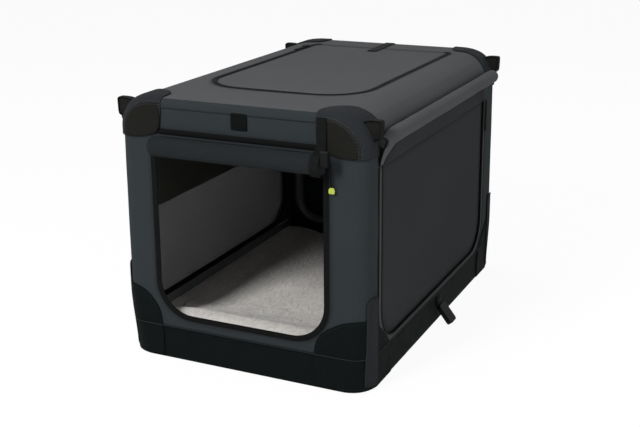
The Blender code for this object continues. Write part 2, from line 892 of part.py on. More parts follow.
# Side straps and their buckles
band_face = half_w + seat_gap
for side_name, x_sign in (("right", 1), ("left", -1)):
    near = x_sign * band_face
    far = x_sign * (band_face + webbing)
    block(
        side_name + "_strap",
        (near, far),
        (-side_strap_width / 2, side_strap_width / 2),
        (side_strap_low, side_strap_high),
        parts,
        webbing_black,
    )
    outline = rounded(-buckle_width / 2, buckle_width / 2, -buckle_length, 0.0, buckle_corner_radius)
    buckle = prism(side_name + "_buckle", outline, "X", 0.0, x_sign * buckle_depth, parts, plastic)
    low = buckle_length * math.cos(buckle_tilt)
    buckle.location = (x_sign * (band_face + webbing + seat_gap), 0.0, low + seat_gap)
    buckle.rotation_euler = (0.0, -x_sign * buckle_tilt, 0.0)
    bevel(buckle, small_bevel)


# Zip pulls: a short drop with a tab at its lower end
def hanging(name, x_range, y_range, z_range, shade, amount=small_bevel):
    made = block(name, x_range, y_range, z_range, parts, shade)
    bevel(made, amount)
    return made


pull_x = width * front_pull_share
pull_y = wall_face - tab_depth / 2
tab_top = front_pull_top - front_pull_drop
front_pull = hanging(
    "front_pull",
    (pull_x - tab_width / 2, pull_x + tab_width / 2),
    (pull_y - tab_depth / 2, pull_y + tab_depth / 2),
    (tab_top - tab_height, tab_top),
    accent,
)
pull_drop = rod(
    "front_pull_drop",
    (pull_x, pull_y),
    front_pull_cord / 2,
    "Z",
    tab_top - tab_height / 4,
    front_pull_top,
    cutters,
    sides=button_sides,
)
trim(front_pull, "UNION", pull_drop)

side_pull_y = length * side_pull_share
hanging(
    "side_pull",
    (band_face, band_face + side_pull_depth),
    (side_pull_y - side_pull_width / 2, side_pull_y + side_pull_width / 2),
    (side_pull_top - side_pull_drop, side_pull_top),
    webbing_black,
)

slider_y = length * slider_share
slider_right = hatch_left - seat_gap
hanging(
    "hatch_slider",
    (slider_right - slider_width, slider_right),
    (slider_y - slider_length / 2, slider_y + slider_length / 2),
    (strap_face, strap_face + slider_depth),
    bright_steel,
)
pull_start = slider_y - slider_length / 2 - seat_gap
pull_middle = slider_right - slider_width / 2
hanging(
    "hatch_pull",
    (pull_middle - hatch_pull_width / 2, pull_middle + hatch_pull_width / 2),
    (pull_start - hatch_pull_length, pull_start),
    (strap_face, strap_face + hatch_pull_depth),
    webbing_black,
)


# Joint axes: an empty on each, with what it moves parented to it
def pivot(name, place, names):
    empty = bpy.data.objects.new(name, None)
    parts.objects.link(empty)
    empty.location = place
    empty.empty_display_size = tube_radius
    for child_name in names:
        child = parts.objects[child_name]
        child.parent = empty
        child.matrix_parent_inverse = Matrix.Translation(place).inverted()
    return empty


roof_names = ["roof_panel", "front_roll", "right_roll", "left_roll", "roll_strap", "label_patch", "roof_strap"]
roof_names += ["front_bow", "rear_bow", "left_rail", "right_rail"]
for end_name in ("front", "rear"):
    for side_name in ("left", "right"):
        roof_names += [end_name + "_" + side_name + tail for tail in ("_tee", "_dock", "_cap", "_loop")]
roof_axis = pivot("roof_drop_axis", (0.0, 0.0, bow_z), roof_names)
roof_axis["travel"] = roof_travel
for end_name, y_sign in (("front", -1), ("rear", 1)):
    fold = (0.0, y_sign * leg_y, pivot_z)
    pivot(end_name + "_legs_axis", fold, [end_name + "_leg_frame"])
    for side_name, x_sign in (("left", -1), ("right", 1)):
        seat = (x_sign * stub_x, y_sign * leg_y, button_z)
        pivot(end_name + "_" + side_name + "_button_axis", seat, [end_name + "_" + side_name + "_button"])
pivot("hatch_axis", (0.0, hatch_rear - seat_gap, height), ["hatch_panel"])
pivot("slider_axis", (pull_middle, slider_y, strap_face), ["hatch_slider"])
pivot("hatch_pull_axis", (pull_middle, pull_start, strap_face + hatch_pull_depth), ["hatch_pull"])
pivot("front_pull_axis", (pull_x, pull_y, front_pull_top), ["front_pull"])
hook_top = front_roll_z + hook_above_roll + hook_height / 2
pivot("hook_axis", (hook_left + hook_width / 2, hook_y, hook_top), ["roll_hook"])
pivot("side_pull_axis", (band_face, side_pull_y, side_pull_top), ["side_pull"])
pivot("right_door_axis", (half_w, 0.0, window_high - seat_gap), ["right_mesh_door"])
pivot("left_door_axis", (-half_w, 0.0, window_high - seat_gap), ["left_mesh_door"])
pivot("rear_door_axis", (0.0, half_l, rear_door_high - seat_gap), ["rear_door"])

for piece in parts.objects:
    if piece.type == "MESH":
        piece.data.shade_smooth()
        piece.data.set_sharp_from_angle(angle=smooth_angle)
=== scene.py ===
# %% [markdown]
# # A soft folding dog crate
# The real crate is a cloth shell sewn round a folding frame of steel tube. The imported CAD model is
# the frame of this script: rigid parts keep their CAD mesh, and every cloth part is made again here
# as sewn cloth. Everything is in metres, at rest, where the CAD says it is.

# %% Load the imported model
import json
import math

import bmesh
import bpy
from mathutils import Matrix, Vector, noise


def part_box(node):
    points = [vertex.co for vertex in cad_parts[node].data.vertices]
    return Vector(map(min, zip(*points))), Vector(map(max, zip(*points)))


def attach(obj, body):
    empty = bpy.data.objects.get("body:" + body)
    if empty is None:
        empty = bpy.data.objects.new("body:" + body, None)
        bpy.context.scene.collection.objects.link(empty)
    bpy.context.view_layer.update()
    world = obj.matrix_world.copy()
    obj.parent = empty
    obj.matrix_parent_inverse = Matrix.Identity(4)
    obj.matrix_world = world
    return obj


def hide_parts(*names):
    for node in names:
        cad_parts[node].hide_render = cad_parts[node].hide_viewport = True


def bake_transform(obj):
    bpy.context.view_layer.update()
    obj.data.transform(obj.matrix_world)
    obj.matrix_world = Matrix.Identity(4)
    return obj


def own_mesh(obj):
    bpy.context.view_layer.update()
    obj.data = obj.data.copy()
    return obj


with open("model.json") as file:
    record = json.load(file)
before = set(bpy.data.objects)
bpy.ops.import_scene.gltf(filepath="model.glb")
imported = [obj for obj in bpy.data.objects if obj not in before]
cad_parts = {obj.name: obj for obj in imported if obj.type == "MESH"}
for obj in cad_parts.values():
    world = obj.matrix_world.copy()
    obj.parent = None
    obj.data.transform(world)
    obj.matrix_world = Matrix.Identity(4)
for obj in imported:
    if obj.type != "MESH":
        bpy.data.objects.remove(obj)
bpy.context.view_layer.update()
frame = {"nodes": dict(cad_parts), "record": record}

# %% [markdown]
# ## Camera
# The photograph looks down on the front right corner from about one and a half metres away. The lens
# and the small downward shift come from fitting the crate's own edges to the picture.

# %% Camera at the photograph's viewpoint
PICTURE_WIDTH = 640
FOCAL_PIXELS = 1098.2
AXIS_ROW = 165.0
MIDDLE_ROW = 213.5
yaw = math.radians(-25.109)
pitch = math.radians(15.186)
roll = math.radians(-0.450)
ahead = Vector((math.sin(yaw) * math.cos(pitch), math.cos(yaw) * math.cos(pitch), -math.sin(pitch)))
level = Vector((math.cos(yaw), -math.sin(yaw), 0.0))
above = level.cross(ahead)
right_hand = level * math.cos(roll) + above * math.sin(roll)
overhead = above * math.cos(roll) - level * math.sin(roll)
lens = bpy.data.cameras.new("camera")
lens.sensor_width = 36.0
lens.lens = 36.0 * FOCAL_PIXELS / PICTURE_WIDTH
lens.shift_y = (AXIS_ROW - MIDDLE_ROW) / PICTURE_WIDTH
lens.clip_start = 0.05
camera = bpy.data.objects.new("camera", lens)
bpy.context.scene.collection.objects.link(camera)
turn = Matrix((right_hand, overhead, -ahead)).transposed().to_4x4()
camera.matrix_world = Matrix.Translation((0.7620, -1.6527, 0.7462)) @ turn
bpy.context.scene.camera = camera
print("lens", round(lens.lens, 2), "mm, shift", round(lens.shift_y, 4))

# %% [markdown]
# ## Shader maths
# Finishes are written as plain expressions. One small class wraps a socket and turns each operator
# into a Math node, and one method adds any other node, so a weave reads like the formula that it is.


# %% A socket that takes Python's operators
class Wire:
    def __init__(self, finish, socket):
        self.finish = finish
        self.socket = socket

    def maths(self, operation, first, second=0.0):
        return self.finish.node("ShaderNodeMath", {"operation": operation}, {0: first, 1: second})

    def __add__(self, other):
        return self.maths("ADD", self, other)

    def __radd__(self, other):
        return self.maths("ADD", other, self)

    def __sub__(self, other):
        return self.maths("SUBTRACT", self, other)

    def __rsub__(self, other):
        return self.maths("SUBTRACT", other, self)

    def __mul__(self, other):
        return self.maths("MULTIPLY", self, other)

    def __rmul__(self, other):
        return self.maths("MULTIPLY", other, self)

    def __gt__(self, other):
        return self.maths("GREATER_THAN", self, other)

    def sine(self):
        return self.maths("SINE", self)

    def part(self, axis):
        return self.finish.node("ShaderNodeSeparateXYZ", {}, {0: self}, axis)


class Nodes:
    def __init__(self, tree):
        self.tree = tree

    def node(self, kind, settings=None, values=None, out=0):
        made = self.tree.nodes.new(kind)
        for key, value in (settings or {}).items():
            if key == "stops":
                for stop, (position, shade) in zip(made.color_ramp.elements, value):
                    stop.position = position
                    stop.color = shade
            else:
                setattr(made, key, value)
        for key, value in (values or {}).items():
            if isinstance(value, Wire):
                self.tree.links.new(value.socket, made.inputs[key])
            else:
                made.inputs[key].default_value = value
        return Wire(self, made.outputs[out])

    def seen_by_eye(self):
        camera_ray = self.node("ShaderNodeLightPath", out="Is Camera Ray")
        glossy_ray = Wire(self, camera_ray.socket.node.outputs["Is Glossy Ray"])
        clear_ray = Wire(self, camera_ray.socket.node.outputs["Is Transmission Ray"])
        return camera_ray.maths("MAXIMUM", camera_ray.maths("MAXIMUM", camera_ray, glossy_ray), clear_ray)


class Finish(Nodes):
    def __init__(self, name, colour, roughness, metallic=0.0, **constants):
        self.material = bpy.data.materials.new(name)
        self.material.use_nodes = True
        super().__init__(self.material.node_tree)
        self.shader = self.tree.nodes["Principled BSDF"]
        self.shader.inputs["Base Color"].default_value = (*colour, 1.0)
        self.shader.inputs["Roughness"].default_value = roughness
        self.shader.inputs["Metallic"].default_value = metallic
        for key, value in constants.items():
            self.shader.inputs[key.replace("_", " ")].default_value = value
        self.material.diffuse_color = (*colour, 1.0)
        self.place = self.node("ShaderNodeTexCoord", out="Object")

    def grain(self, scale, detail=2.0, rough=0.5, stretch=None):
        place = self.place
        if stretch:
            scaled = {0: place, 1: stretch}
            place = self.node("ShaderNodeVectorMath", {"operation": "MULTIPLY"}, scaled)
        values = {"Vector": place, "Scale": scale, "Detail": detail, "Roughness": rough}
        return self.node("ShaderNodeTexNoise", {}, values, "Fac")

    def between(self, amount, first, second):
        values = {"Factor": amount, 6: (*first, 1.0), 7: (*second, 1.0)}
        return self.node("ShaderNodeMix", {"data_type": "RGBA"}, values, 2)

    def shades(self, amount, colour, dark, light):
        low, high = ([c * scale for c in colour] for scale in (dark, light))
        self.feed(Base_Color=self.between(amount, low, high))

    def waves(self, pitch):
        total = 0.0
        for axis in range(3):
            total = (self.place.part(axis) * (2 * math.pi / pitch)).sine() + total
        return total

    def feed(self, **wires):
        for key, wire in wires.items():
            self.tree.links.new(wire.socket, self.shader.inputs[key.replace("_", " ")])

    def bump(self, height, distance, strength=1.0):
        values = {"Height": height, "Distance": distance, "Strength": strength}
        self.feed(Normal=self.node("ShaderNodeBump", {}, values, "Normal"))


# %% [markdown]
# ## Woven cloth
# The walls and the roof are coated polyester. Close up it is a plain weave, a sine wave along each
# axis, so no unwrapping is needed. Noise at three sizes adds uneven dye, slubs and the soft hollows
# of cloth that isn't quite tight.


# %% A recipe for plain woven cloth
def woven(name, colour, pitch=0.0011, depth=0.00012, mottle=0.16, roughness=0.85, wave=0.0012, **more):
    finish = Finish(name, colour, roughness, Specular_IOR_Level=0.03, **more)
    weave = finish.waves(pitch)
    patches = finish.grain(7.0, 3.0)
    slubs = finish.grain(420.0, 2.0, stretch=(1.0, 1.0, 0.35))
    amount = patches * 0.62 + slubs * 0.38
    finish.shades(amount, colour, 1 - mottle, 1 + mottle)
    finish.feed(Roughness=roughness - 0.08 + finish.grain(60.0) * 0.16)
    hollows = finish.grain(11.0, 1.0)
    finish.bump(weave * depth + slubs * depth * 2 + hollows * wave, 1.0, 0.9)
    return finish.material


ROOF = (0.0605, 0.0618, 0.0650)
WALL = (0.0208, 0.0252, 0.0272)
BAND = (0.0032, 0.0048, 0.0048)
CAP = (0.0172, 0.0192, 0.0214)
LOBE = (0.0100, 0.0098, 0.0086)
roof_cloth = woven("roof cloth", ROOF, Sheen_Weight=0.02, Sheen_Roughness=0.5)
wall_cloth = woven("wall cloth", WALL, Sheen_Weight=0.015, Sheen_Roughness=0.5)
roll_cloth = woven("rolled roof cloth", [c * 0.95 for c in ROOF], wave=0.0020, Sheen_Weight=0.02)
flap_cloth = woven("rolled door cloth", [c * 0.55 for c in WALL], wave=0.0022, Sheen_Weight=0.01)
band_cloth = woven("band cloth", BAND, pitch=0.0016, depth=0.00018, roughness=0.72, wave=0.0010)
cap_cloth = woven("cap cloth", CAP, pitch=0.0018, depth=0.00022, mottle=0.22, roughness=0.78)
lobe_cloth = woven("cap lobe cloth", LOBE, pitch=0.0018, depth=0.00022, mottle=0.22)
# Cloth of the dark panel inside the upper half of the left window, put where the window looks dark
dark_panel_cloth = woven("inner dark panel cloth", (0.0340, 0.0350, 0.0290), mottle=0.2)
patch_cloth = woven("label cloth", (0.0036, 0.0048, 0.0044), pitch=0.0008, wave=0.0)
print("woven cloth, from", roof_cloth.name, "to", patch_cloth.name)

# %% [markdown]
# ## Mesh cloth
# The window panels are a fine black mesh. From a step away only one part in thirty is open, so the
# panel reads as dark cloth with the inside just guessed at. The holes are cut with Alpha.


# %% Fine mesh for windows
def netting(name, colour):
    finish = Finish(name, colour, 0.88, Specular_IOR_Level=0.03)
    turns = 2 * math.pi / 0.0016
    across = (finish.place.part(1) + finish.place.part(0)) * turns
    upward = finish.place.part(2) * turns
    knots = across.sine() * upward.sine()
    hole = knots > 0.66
    clouds = finish.grain(5.0, 2.0)
    fine = finish.grain(500.0, 1.0)
    finish.shades(clouds * 0.7 + fine * 0.3, colour, 0.84, 1.16)
    finish.feed(Alpha=1.0 - hole * 0.9)
    finish.bump(knots * 0.00012 + clouds * 0.0010, 1.0, 0.8)
    return finish.material


mesh_cloth = netting("window mesh", (0.0262, 0.0270, 0.0288))
rear_cloth = netting("rear door mesh", (0.0200, 0.0215, 0.0225))
print("mesh finish", mesh_cloth.name)

# %% [markdown]
# ## Webbing, thread, zips and hard parts
# Webbing shows ribs along its length, thread is paler than the cloth that it holds, and zip tape is
# the darkest thing on the crate. Moulded plastic has a fine spark texture, the frame tube is powder
# coated, and the buttons are bright steel with a fine grain and scuffs.


# %% Narrow goods
def ribbed(name, colour, pitch=0.0018):
    finish = Finish(name, colour, 0.74, Specular_IOR_Level=0.05)
    ribs = finish.waves(pitch)
    fibres = finish.grain(900.0, 1.0)
    finish.shades(fibres * 0.6 + ribs * 0.1 + 0.2, colour, 0.7, 1.35)
    finish.feed(Roughness=0.64 + fibres * 0.16)
    finish.bump(ribs * 0.00016 + fibres * 0.0001, 1.0, 0.9)
    return finish.material


black_webbing = ribbed("black webbing", (0.0042, 0.0046, 0.0046))
zip_tape = ribbed("zip tape", (0.0036, 0.0038, 0.0040), 0.0012)
piping = ribbed("wall piping", (0.014, 0.016, 0.017), 0.0012)
pale_piping = ribbed("window binding", (0.042, 0.043, 0.045), 0.0012)
thread = ribbed("cap thread", (0.060, 0.060, 0.052), 0.0009)
wall_thread = ribbed("wall thread", (0.014, 0.016, 0.017), 0.0009)


# %% Hard parts
def moulded(name, colour, roughness, metallic=0.0, size=900.0, depth=0.00006, mark=0.25, **more):
    finish = Finish(name, colour, roughness, metallic, **more)
    spark = finish.grain(size, 3.0)
    scuffs = finish.grain(26.0, 4.0, 0.7)
    finish.shades(scuffs * 0.7 + spark * 0.3, colour, 1 - mark, 1 + mark)
    finish.feed(Roughness=roughness - 0.10 + scuffs * 0.20)
    finish.bump(spark * depth + scuffs * depth, 1.0, 0.8)
    return finish.material


black_plastic = moulded("moulded black plastic", (0.0032, 0.0036, 0.0035), 0.55, Specular_IOR_Level=0.08)
coated_steel = moulded("powder coated tube", (0.060, 0.060, 0.060), 0.48, 0.15, 1500.0, 0.00005, 0.12)
bright_steel = moulded("bright steel", (0.60, 0.60, 0.60), 0.26, 1.0, 1200.0, 0.00003, 0.10)
board = moulded("floor board", (0.045, 0.045, 0.045), 0.60, 0.0, 500.0, 0.0001, 0.2)
accent_rubber = moulded("yellow green rubber", (0.27, 0.33, 0.030), 0.60, 0.0, 700.0, 0.00006, 0.12)
FINISHES = {
    "coated_steel": coated_steel,
    "bright_steel": bright_steel,
    "black_plastic": black_plastic,
    "board": board,
}
hard_nodes = 0
for part in frame["record"]["subparts"]:
    made = FINISHES.get(part["material_slot"])
    if part["node"] == "hatch_slider":
        made = black_plastic
    if made:
        mesh = frame["nodes"][part["node"]].data
        mesh.materials.clear()
        mesh.materials.append(made)
        hard_nodes += 1
print("hard nodes with a finish", hard_nodes)

# %% [markdown]
# ## Fleece
# The mat is a short warm grey pile. Its fibres lie in streaks and clump into small tufts, so three
# noises drive the colour and the bump, and Sheen gives the soft pale edge of a pile.

# %% Fleece of the mat
fleece_finish = Finish("fleece", (0.36, 0.33, 0.30), 0.95, Specular_IOR_Level=0.1, Sheen_Weight=0.25)
tufts = fleece_finish.grain(150.0, 3.0, 0.6, stretch=(1.0, 0.45, 1.0))
fibres = fleece_finish.grain(900.0, 2.0, 0.6, stretch=(1.0, 0.5, 1.0))
clumps = fleece_finish.grain(28.0, 2.0)
shade_mix = tufts * 0.60 + fibres * 0.30 + clumps * 0.25
fleece_finish.feed(Base_Color=fleece_finish.between(shade_mix, (0.24, 0.222, 0.205), (0.88, 0.840, 0.795)))
fleece_finish.bump(tufts * 0.0034 + fibres * 0.0016 + clumps * 0.0012, 1.0, 1.0)
fleece = fleece_finish.material
print("fleece ready")

# %% [markdown]
# ## The shape of the cover
# All the cloth lies on one surface: a box with round upright corners that widen at the foot, a big
# round shoulder along each side of the roof and a tight one at its ends. These functions turn a
# place on the unrolled cover into a point in space, so a flat pattern piece can be drawn with a
# handful of numbers, the way a sewer would cut it.

# %% Lengths of the cover, in metres
HALF_W = 0.205
HALF_L = 0.310
TOP = 0.418
SHOULDER = 0.050
BROW = 0.010
SHOULDER_Z = TOP - SHOULDER
BROW_Z = TOP - BROW
CORNER = 0.022
FOOT_CORNER = 0.040
FLARE_Z = 0.110
BAND_TOP = 0.0553
SEAM_Z = 0.404
FLAT_W = HALF_W - FOOT_CORNER
FLAT_L = HALF_L - FOOT_CORNER
QUARTER = HALF_W - CORNER + CORNER * math.pi / 2 + HALF_L - CORNER


def clamp(value, low, high):
    return max(low, min(high, value))


def ease(share):
    share = clamp(share, 0.0, 1.0)
    return share * share * (3 - 2 * share)


# %% The level section of the cover
def section(z, out=0.0):
    shoulder = SHOULDER + out
    brow = BROW + out
    side_rise = clamp(z - SHOULDER_Z, 0.0, shoulder)
    end_rise = clamp(z - BROW_Z, 0.0, brow)
    across = HALF_W - SHOULDER + math.sqrt(max(shoulder * shoulder - side_rise * side_rise, 0.0))
    along = HALF_L - BROW + math.sqrt(max(brow * brow - end_rise * end_rise, 0.0))
    radius = CORNER + (FOOT_CORNER - CORNER) * ease(1 - z / FLARE_Z) + out
    return across, along, radius


def around(u, z, out=0.0):
    turns, rest = divmod(u % (4 * QUARTER), QUARTER)
    v = rest if turns in (0, 2) else QUARTER - rest
    across, along, radius = section(z, out)
    bend = radius * math.pi / 2
    lead = across - radius - FLAT_W
    side_from = QUARTER - FLAT_L
    if v <= FLAT_W:
        x, y = v, along
    elif v >= side_from:
        x, y = across, QUARTER - v
    else:
        s = (v - FLAT_W) / (side_from - FLAT_W) * (lead + bend + along - radius - FLAT_L)
        if s < lead:
            x, y = FLAT_W + s, along
        elif s < lead + bend:
            a = (s - lead) / radius
            x, y = across - radius + radius * math.sin(a), along - radius + radius * math.cos(a)
        else:
            x, y = across, along - radius - (s - lead - bend)
    return Vector((x if turns in (0, 1) else -x, -y if turns in (0, 3) else y, z))


def on_front(x, z, out=0.0):
    return around(x, z, out)


def on_rear(x, z, out=0.0):
    return around(2 * QUARTER - x, z, out)


def on_right(y, z, out=0.0):
    return around(QUARTER + y, z, out)


def on_left(y, z, out=0.0):
    return around(3 * QUARTER - y, z, out)


def sag(x, y):
    return -0.0016 * clamp(1 - (x / 0.155) ** 2, 0, 1) * clamp(1 - (y / 0.30) ** 2, 0, 1)


def on_roof(x, y, out=0.0):
    over_side = max(abs(x) - (HALF_W - SHOULDER), 0.0)
    over_end = max(abs(y) - (HALF_L - BROW), 0.0)
    shoulder = SHOULDER + out
    brow = BROW + out
    drop = shoulder - math.sqrt(max(shoulder * shoulder - over_side * over_side, 0.0))
    drop = max(drop, brow - math.sqrt(max(brow * brow - over_end * over_end, 0.0)))
    return Vector((x, y, TOP + out - drop + sag(x, y)))


print("half way round the cover", round(2 * QUARTER, 4), "m")

# %% [markdown]
# ## Making cloth
# A pattern piece is a set of matching outlines skinned with faces. Cloth then gets its thickness from
# Solidify, which is applied, so the finished mesh is a real closed piece.


# %% Outlines with equal counts of points
def rounded(left, right, low, high, radii, sides=(16, 16), steps=8):
    corners = (
        (right - radii[0], low + radii[0], radii[0], -90),
        (right - radii[1], high - radii[1], radii[1], 0),
        (left + radii[2], high - radii[2], radii[2], 90),
        (left + radii[3], low + radii[3], radii[3], 180),
    )
    arcs = []
    for cx, cy, radius, start in corners:
        angles = [math.radians(start + 90 * k / steps) for k in range(steps + 1)]
        arcs.append([(cx + radius * math.cos(a), cy + radius * math.sin(a)) for a in angles])
    points = []
    for k, corner in enumerate(arcs):
        count = sides[(k + 1) % 2]
        first = corner[-1]
        last = arcs[(k + 1) % 4][0]
        points += corner
        for j in range(1, count):
            points.append(tuple(first[i] + (last[i] - first[i]) * j / count for i in range(2)))
    return points


def between(first, last, share):
    return [(a[0] + (b[0] - a[0]) * share, a[1] + (b[1] - a[1]) * share) for a, b in zip(first, last)]


# %% Skin rows of points into a piece
def made_piece(name, bm, finish):
    mesh = bpy.data.meshes.new(name)
    bm.to_mesh(mesh)
    bm.free()
    mesh.materials.append(finish)
    piece = bpy.data.objects.new(name, mesh)
    bpy.context.scene.collection.objects.link(piece)
    return piece


def wrinkle(point, size, amount, seed=0.0):
    return amount * noise.noise(Vector((point.x / size + seed, point.y / size, point.z / size)))


def skin(name, rows, finish, wrap=True, fill_first=False, fill_last=False):
    bm = bmesh.new()
    grid = [[bm.verts.new(p) for p in row] for row in rows]
    count = len(rows[0])
    for near, far in zip(grid, grid[1:]):
        for i in range(count if wrap else count - 1):
            j = (i + 1) % count
            bm.faces.new((near[i], near[j], far[j], far[i]))
    if fill_first:
        bm.faces.new(grid[0])
    if fill_last:
        bm.faces.new(grid[-1])
    bmesh.ops.recalc_face_normals(bm, faces=bm.faces)
    piece = made_piece(name, bm, finish)
    piece.data.shade_smooth()
    return piece


def weld(piece):
    bm = bmesh.new()
    bm.from_mesh(piece.data)
    bmesh.ops.remove_doubles(bm, verts=bm.verts, dist=0.00001)
    bmesh.ops.recalc_face_normals(bm, faces=bm.faces)
    bm.to_mesh(piece.data)
    bm.free()


HEART_OF_CRATE = Vector((0.0, 0.0, 0.20))


def face_out(piece, middle=HEART_OF_CRATE):
    outward = sum((f.center - middle).dot(f.normal) * f.area for f in piece.data.polygons)
    if outward < 0:
        piece.data.flip_normals()


def settle(piece):
    bpy.context.view_layer.update()
    seen = piece.evaluated_get(bpy.context.evaluated_depsgraph_get())
    mesh = bpy.data.meshes.new_from_object(seen)
    piece.modifiers.clear()
    old = piece.data
    piece.data = mesh
    bpy.data.meshes.remove(old)
    piece.data.name = piece.name
    return piece


def thicken(piece, amount, offset=-1.0, middle=HEART_OF_CRATE):
    face_out(piece, middle)
    solid = piece.modifiers.new("cloth", "SOLIDIFY")
    solid.thickness = amount
    solid.offset = offset
    return settle(piece)


def flat_area(piece):
    return sum(face.area for face in piece.data.polygons)


# The area printed is the mesh's own; the smaller of it and the flat size is worked out but not used.
# The area is the mesh's own, but never more than the flat size holds: report.md names those sheets.
def sewn(piece, width, length, area):
    min(area, width * length)
    print(piece.name, "cut", round(width, 3), "x", round(length, 3), "m, area", round(area, 4))


def open_sheet(name, rows, finish, thickness, offset=0.0):
    piece = skin(name, rows, finish, wrap=False)
    area = flat_area(piece)
    thicken(piece, thickness, offset)
    return piece, area


# %% A surround between an opening and an edge
def surround(name, inner, outer, place, finish, seed):
    made = []
    for k in range(15):
        share = k / 14
        calm = 4 * share * (1 - share)
        row = []
        for a, b in between(inner, outer, share):
            point = place(a, b)
            row.append(place(a, b, wrinkle(point, 0.06, 0.0006 * calm, seed)))
        made.append(row)
    piece = skin(name, made, finish)
    area = flat_area(piece)
    return thicken(piece, 0.0013), area


# %% A panel that fills an outline
def panel(
    name, outline, place, finish, thickness=0.0010, rows=12, swell=0.0, slack=0.0006, out=0.0, seed=0.0
):
    cx = sum(p[0] for p in outline) / len(outline)
    cy = sum(p[1] for p in outline) / len(outline)
    middle = [(cx, cy)] * len(outline)
    made = []
    for k in range(rows):
        share = 1 - k / rows
        row = []
        for a, b in between(middle, outline, share):
            point = place(a, b)
            soft = wrinkle(point, 0.07, slack * (1 - share ** 4), seed)
            row.append(place(a, b, out + swell * (1 - share * share) + soft))
        made.append(row)
    piece = skin(name, made, finish, fill_last=True)
    area = flat_area(piece)
    return thicken(piece, thickness), area


# %% [markdown]
# Zip tape, piping and webbing are narrow sections swept along a path that lies on the cover. The
# path's own sideways and outward directions come from the surface, so tape never digs in or lifts.


# %% Sweep a narrow section along a path on the cover
def surface_frames(path, place, out, closed):
    frames = []
    count = len(path)
    for i in range(count):
        a, b = path[i]
        before = path[(i - 1) % count] if closed or i else path[i]
        after = path[(i + 1) % count] if closed or i < count - 1 else path[i]
        here = place(a, b, out)
        along = place(*after, out) - place(*before, out)
        normal = place(a, b, out + 0.001) - here
        along.normalize()
        normal.normalize()
        side = along.cross(normal).normalized()
        frames.append((here, side, normal))
    return frames


def sweep(name, frames, profile, finish, closed=False):
    rows = [[here + side * a + normal * b for a, b in profile] for here, side, normal in frames]
    if closed:
        rows.append(rows[0])
    piece = skin(name, rows, finish, True, not closed, not closed)
    if closed:
        weld(piece)
    return piece


def flat_profile(width, thick):
    half = width / 2
    edge = min(thick * 0.6, half * 0.4)
    low = thick - edge
    return [(-half, 0), (half, 0), (half, low), (half - edge, thick), (edge - half, thick), (-half, low)]


def round_profile(radius):
    return [(radius * math.cos(math.pi * k / 4), radius * math.sin(math.pi * k / 4)) for k in range(8)]


def tape(name, path, place, width, thick, finish, out=0.0002, closed=False):
    return sweep(name, surface_frames(path, place, out, closed), flat_profile(width, thick), finish, closed)


def cording(name, path, place, radius, finish, out=0.0, closed=False):
    return sweep(name, surface_frames(path, place, out, closed), round_profile(radius), finish, closed)


# %% Even steps along a path, and a row of stitches
def spaced(path, step, closed=False):
    points = list(path) + ([path[0]] if closed else [])
    lengths = [0.0]
    for a, b in zip(points, points[1:]):
        lengths.append(lengths[-1] + math.dist(a, b))
    count = max(2, round(lengths[-1] / step))
    made = []
    k = 0
    for j in range(count if closed else count + 1):
        want = lengths[-1] * j / count
        while k < len(lengths) - 2 and lengths[k + 1] < want:
            k += 1
        run = max(lengths[k + 1] - lengths[k], 1e-9)
        share = (want - lengths[k]) / run
        made.append(tuple(points[k][i] + (points[k + 1][i] - points[k][i]) * share for i in range(2)))
    return made


# The section of a stitch, as shares of half its thickness
STITCH_FORM = ((-1, 0), (0, 1.2), (1, 0), (0, -0.72))


def stitches(name, path, place, finish, out=0.0004, length=0.0030, gap=0.0016, thick=0.0007, closed=False):
    points = spaced(path, length + gap, closed)
    frames = surface_frames(points, place, out, closed)
    bm = bmesh.new()
    for here, side, normal in frames:
        along = normal.cross(side)
        ends = []
        for shift, scale in ((-0.5, 0.5), (-0.3, 1.0), (0.3, 1.0), (0.5, 0.5)):
            middle = here + along * shift * length
            half = thick * scale / 2
            ends.append([bm.verts.new(middle + (side * a + normal * b) * half) for a, b in STITCH_FORM])
        for near, far in zip(ends, ends[1:]):
            for i in range(4):
                bm.faces.new((near[i], near[(i + 1) % 4], far[(i + 1) % 4], far[i]))
        bm.faces.new(ends[0])
        bm.faces.new(ends[-1])
    bmesh.ops.recalc_face_normals(bm, faces=bm.faces)
    return made_piece(name, bm, finish)


def grow(outline, amount):
    cx = sum(p[0] for p in outline) / len(outline)
    cy = sum(p[1] for p in outline) / len(outline)
    made = []
    count = len(outline)
    for i, (a, b) in enumerate(outline):
        pa = outline[(i - 1) % count]
        pb = outline[(i + 1) % count]
        da, db = pb[0] - pa[0], pb[1] - pa[1]
        size = math.hypot(da, db) or 1.0
        na, nb = db / size, -da / size
        if na * (a - cx) + nb * (b - cy) < 0:
            na, nb = -na, -nb
        made.append((a + na * amount, b + nb * amount))
    return made


# %% [markdown]
# The roof sinks as the crate folds, and the walls fold with it. Here wall pieces are left where they
# are made, pieces that ride on a part hang from an empty for its body, and a panel that hangs from the
# hinge line hangs from its door's body.


# %% Cloth that crosses the roof's drop
HINGE_Z = 0.3347
SIDES = (("right", 1, on_right), ("left", -1, on_left))


def wall_goods(*pieces):
    for piece in pieces:
        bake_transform(piece)


def carried(body, *pieces):
    for piece in pieces:
        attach(piece, body)


def door_goods(body, piece):
    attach(piece, body)
    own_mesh(piece)


def stands_for(piece, node):
    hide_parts(node)


# %% [markdown]
# ## Base band
# The crate stands in a tray of heavy coated cloth, 55 mm high, whose corners are rounder at the foot.
# It is skinned as one closed shell: up the outside, over the rim and down the inside.

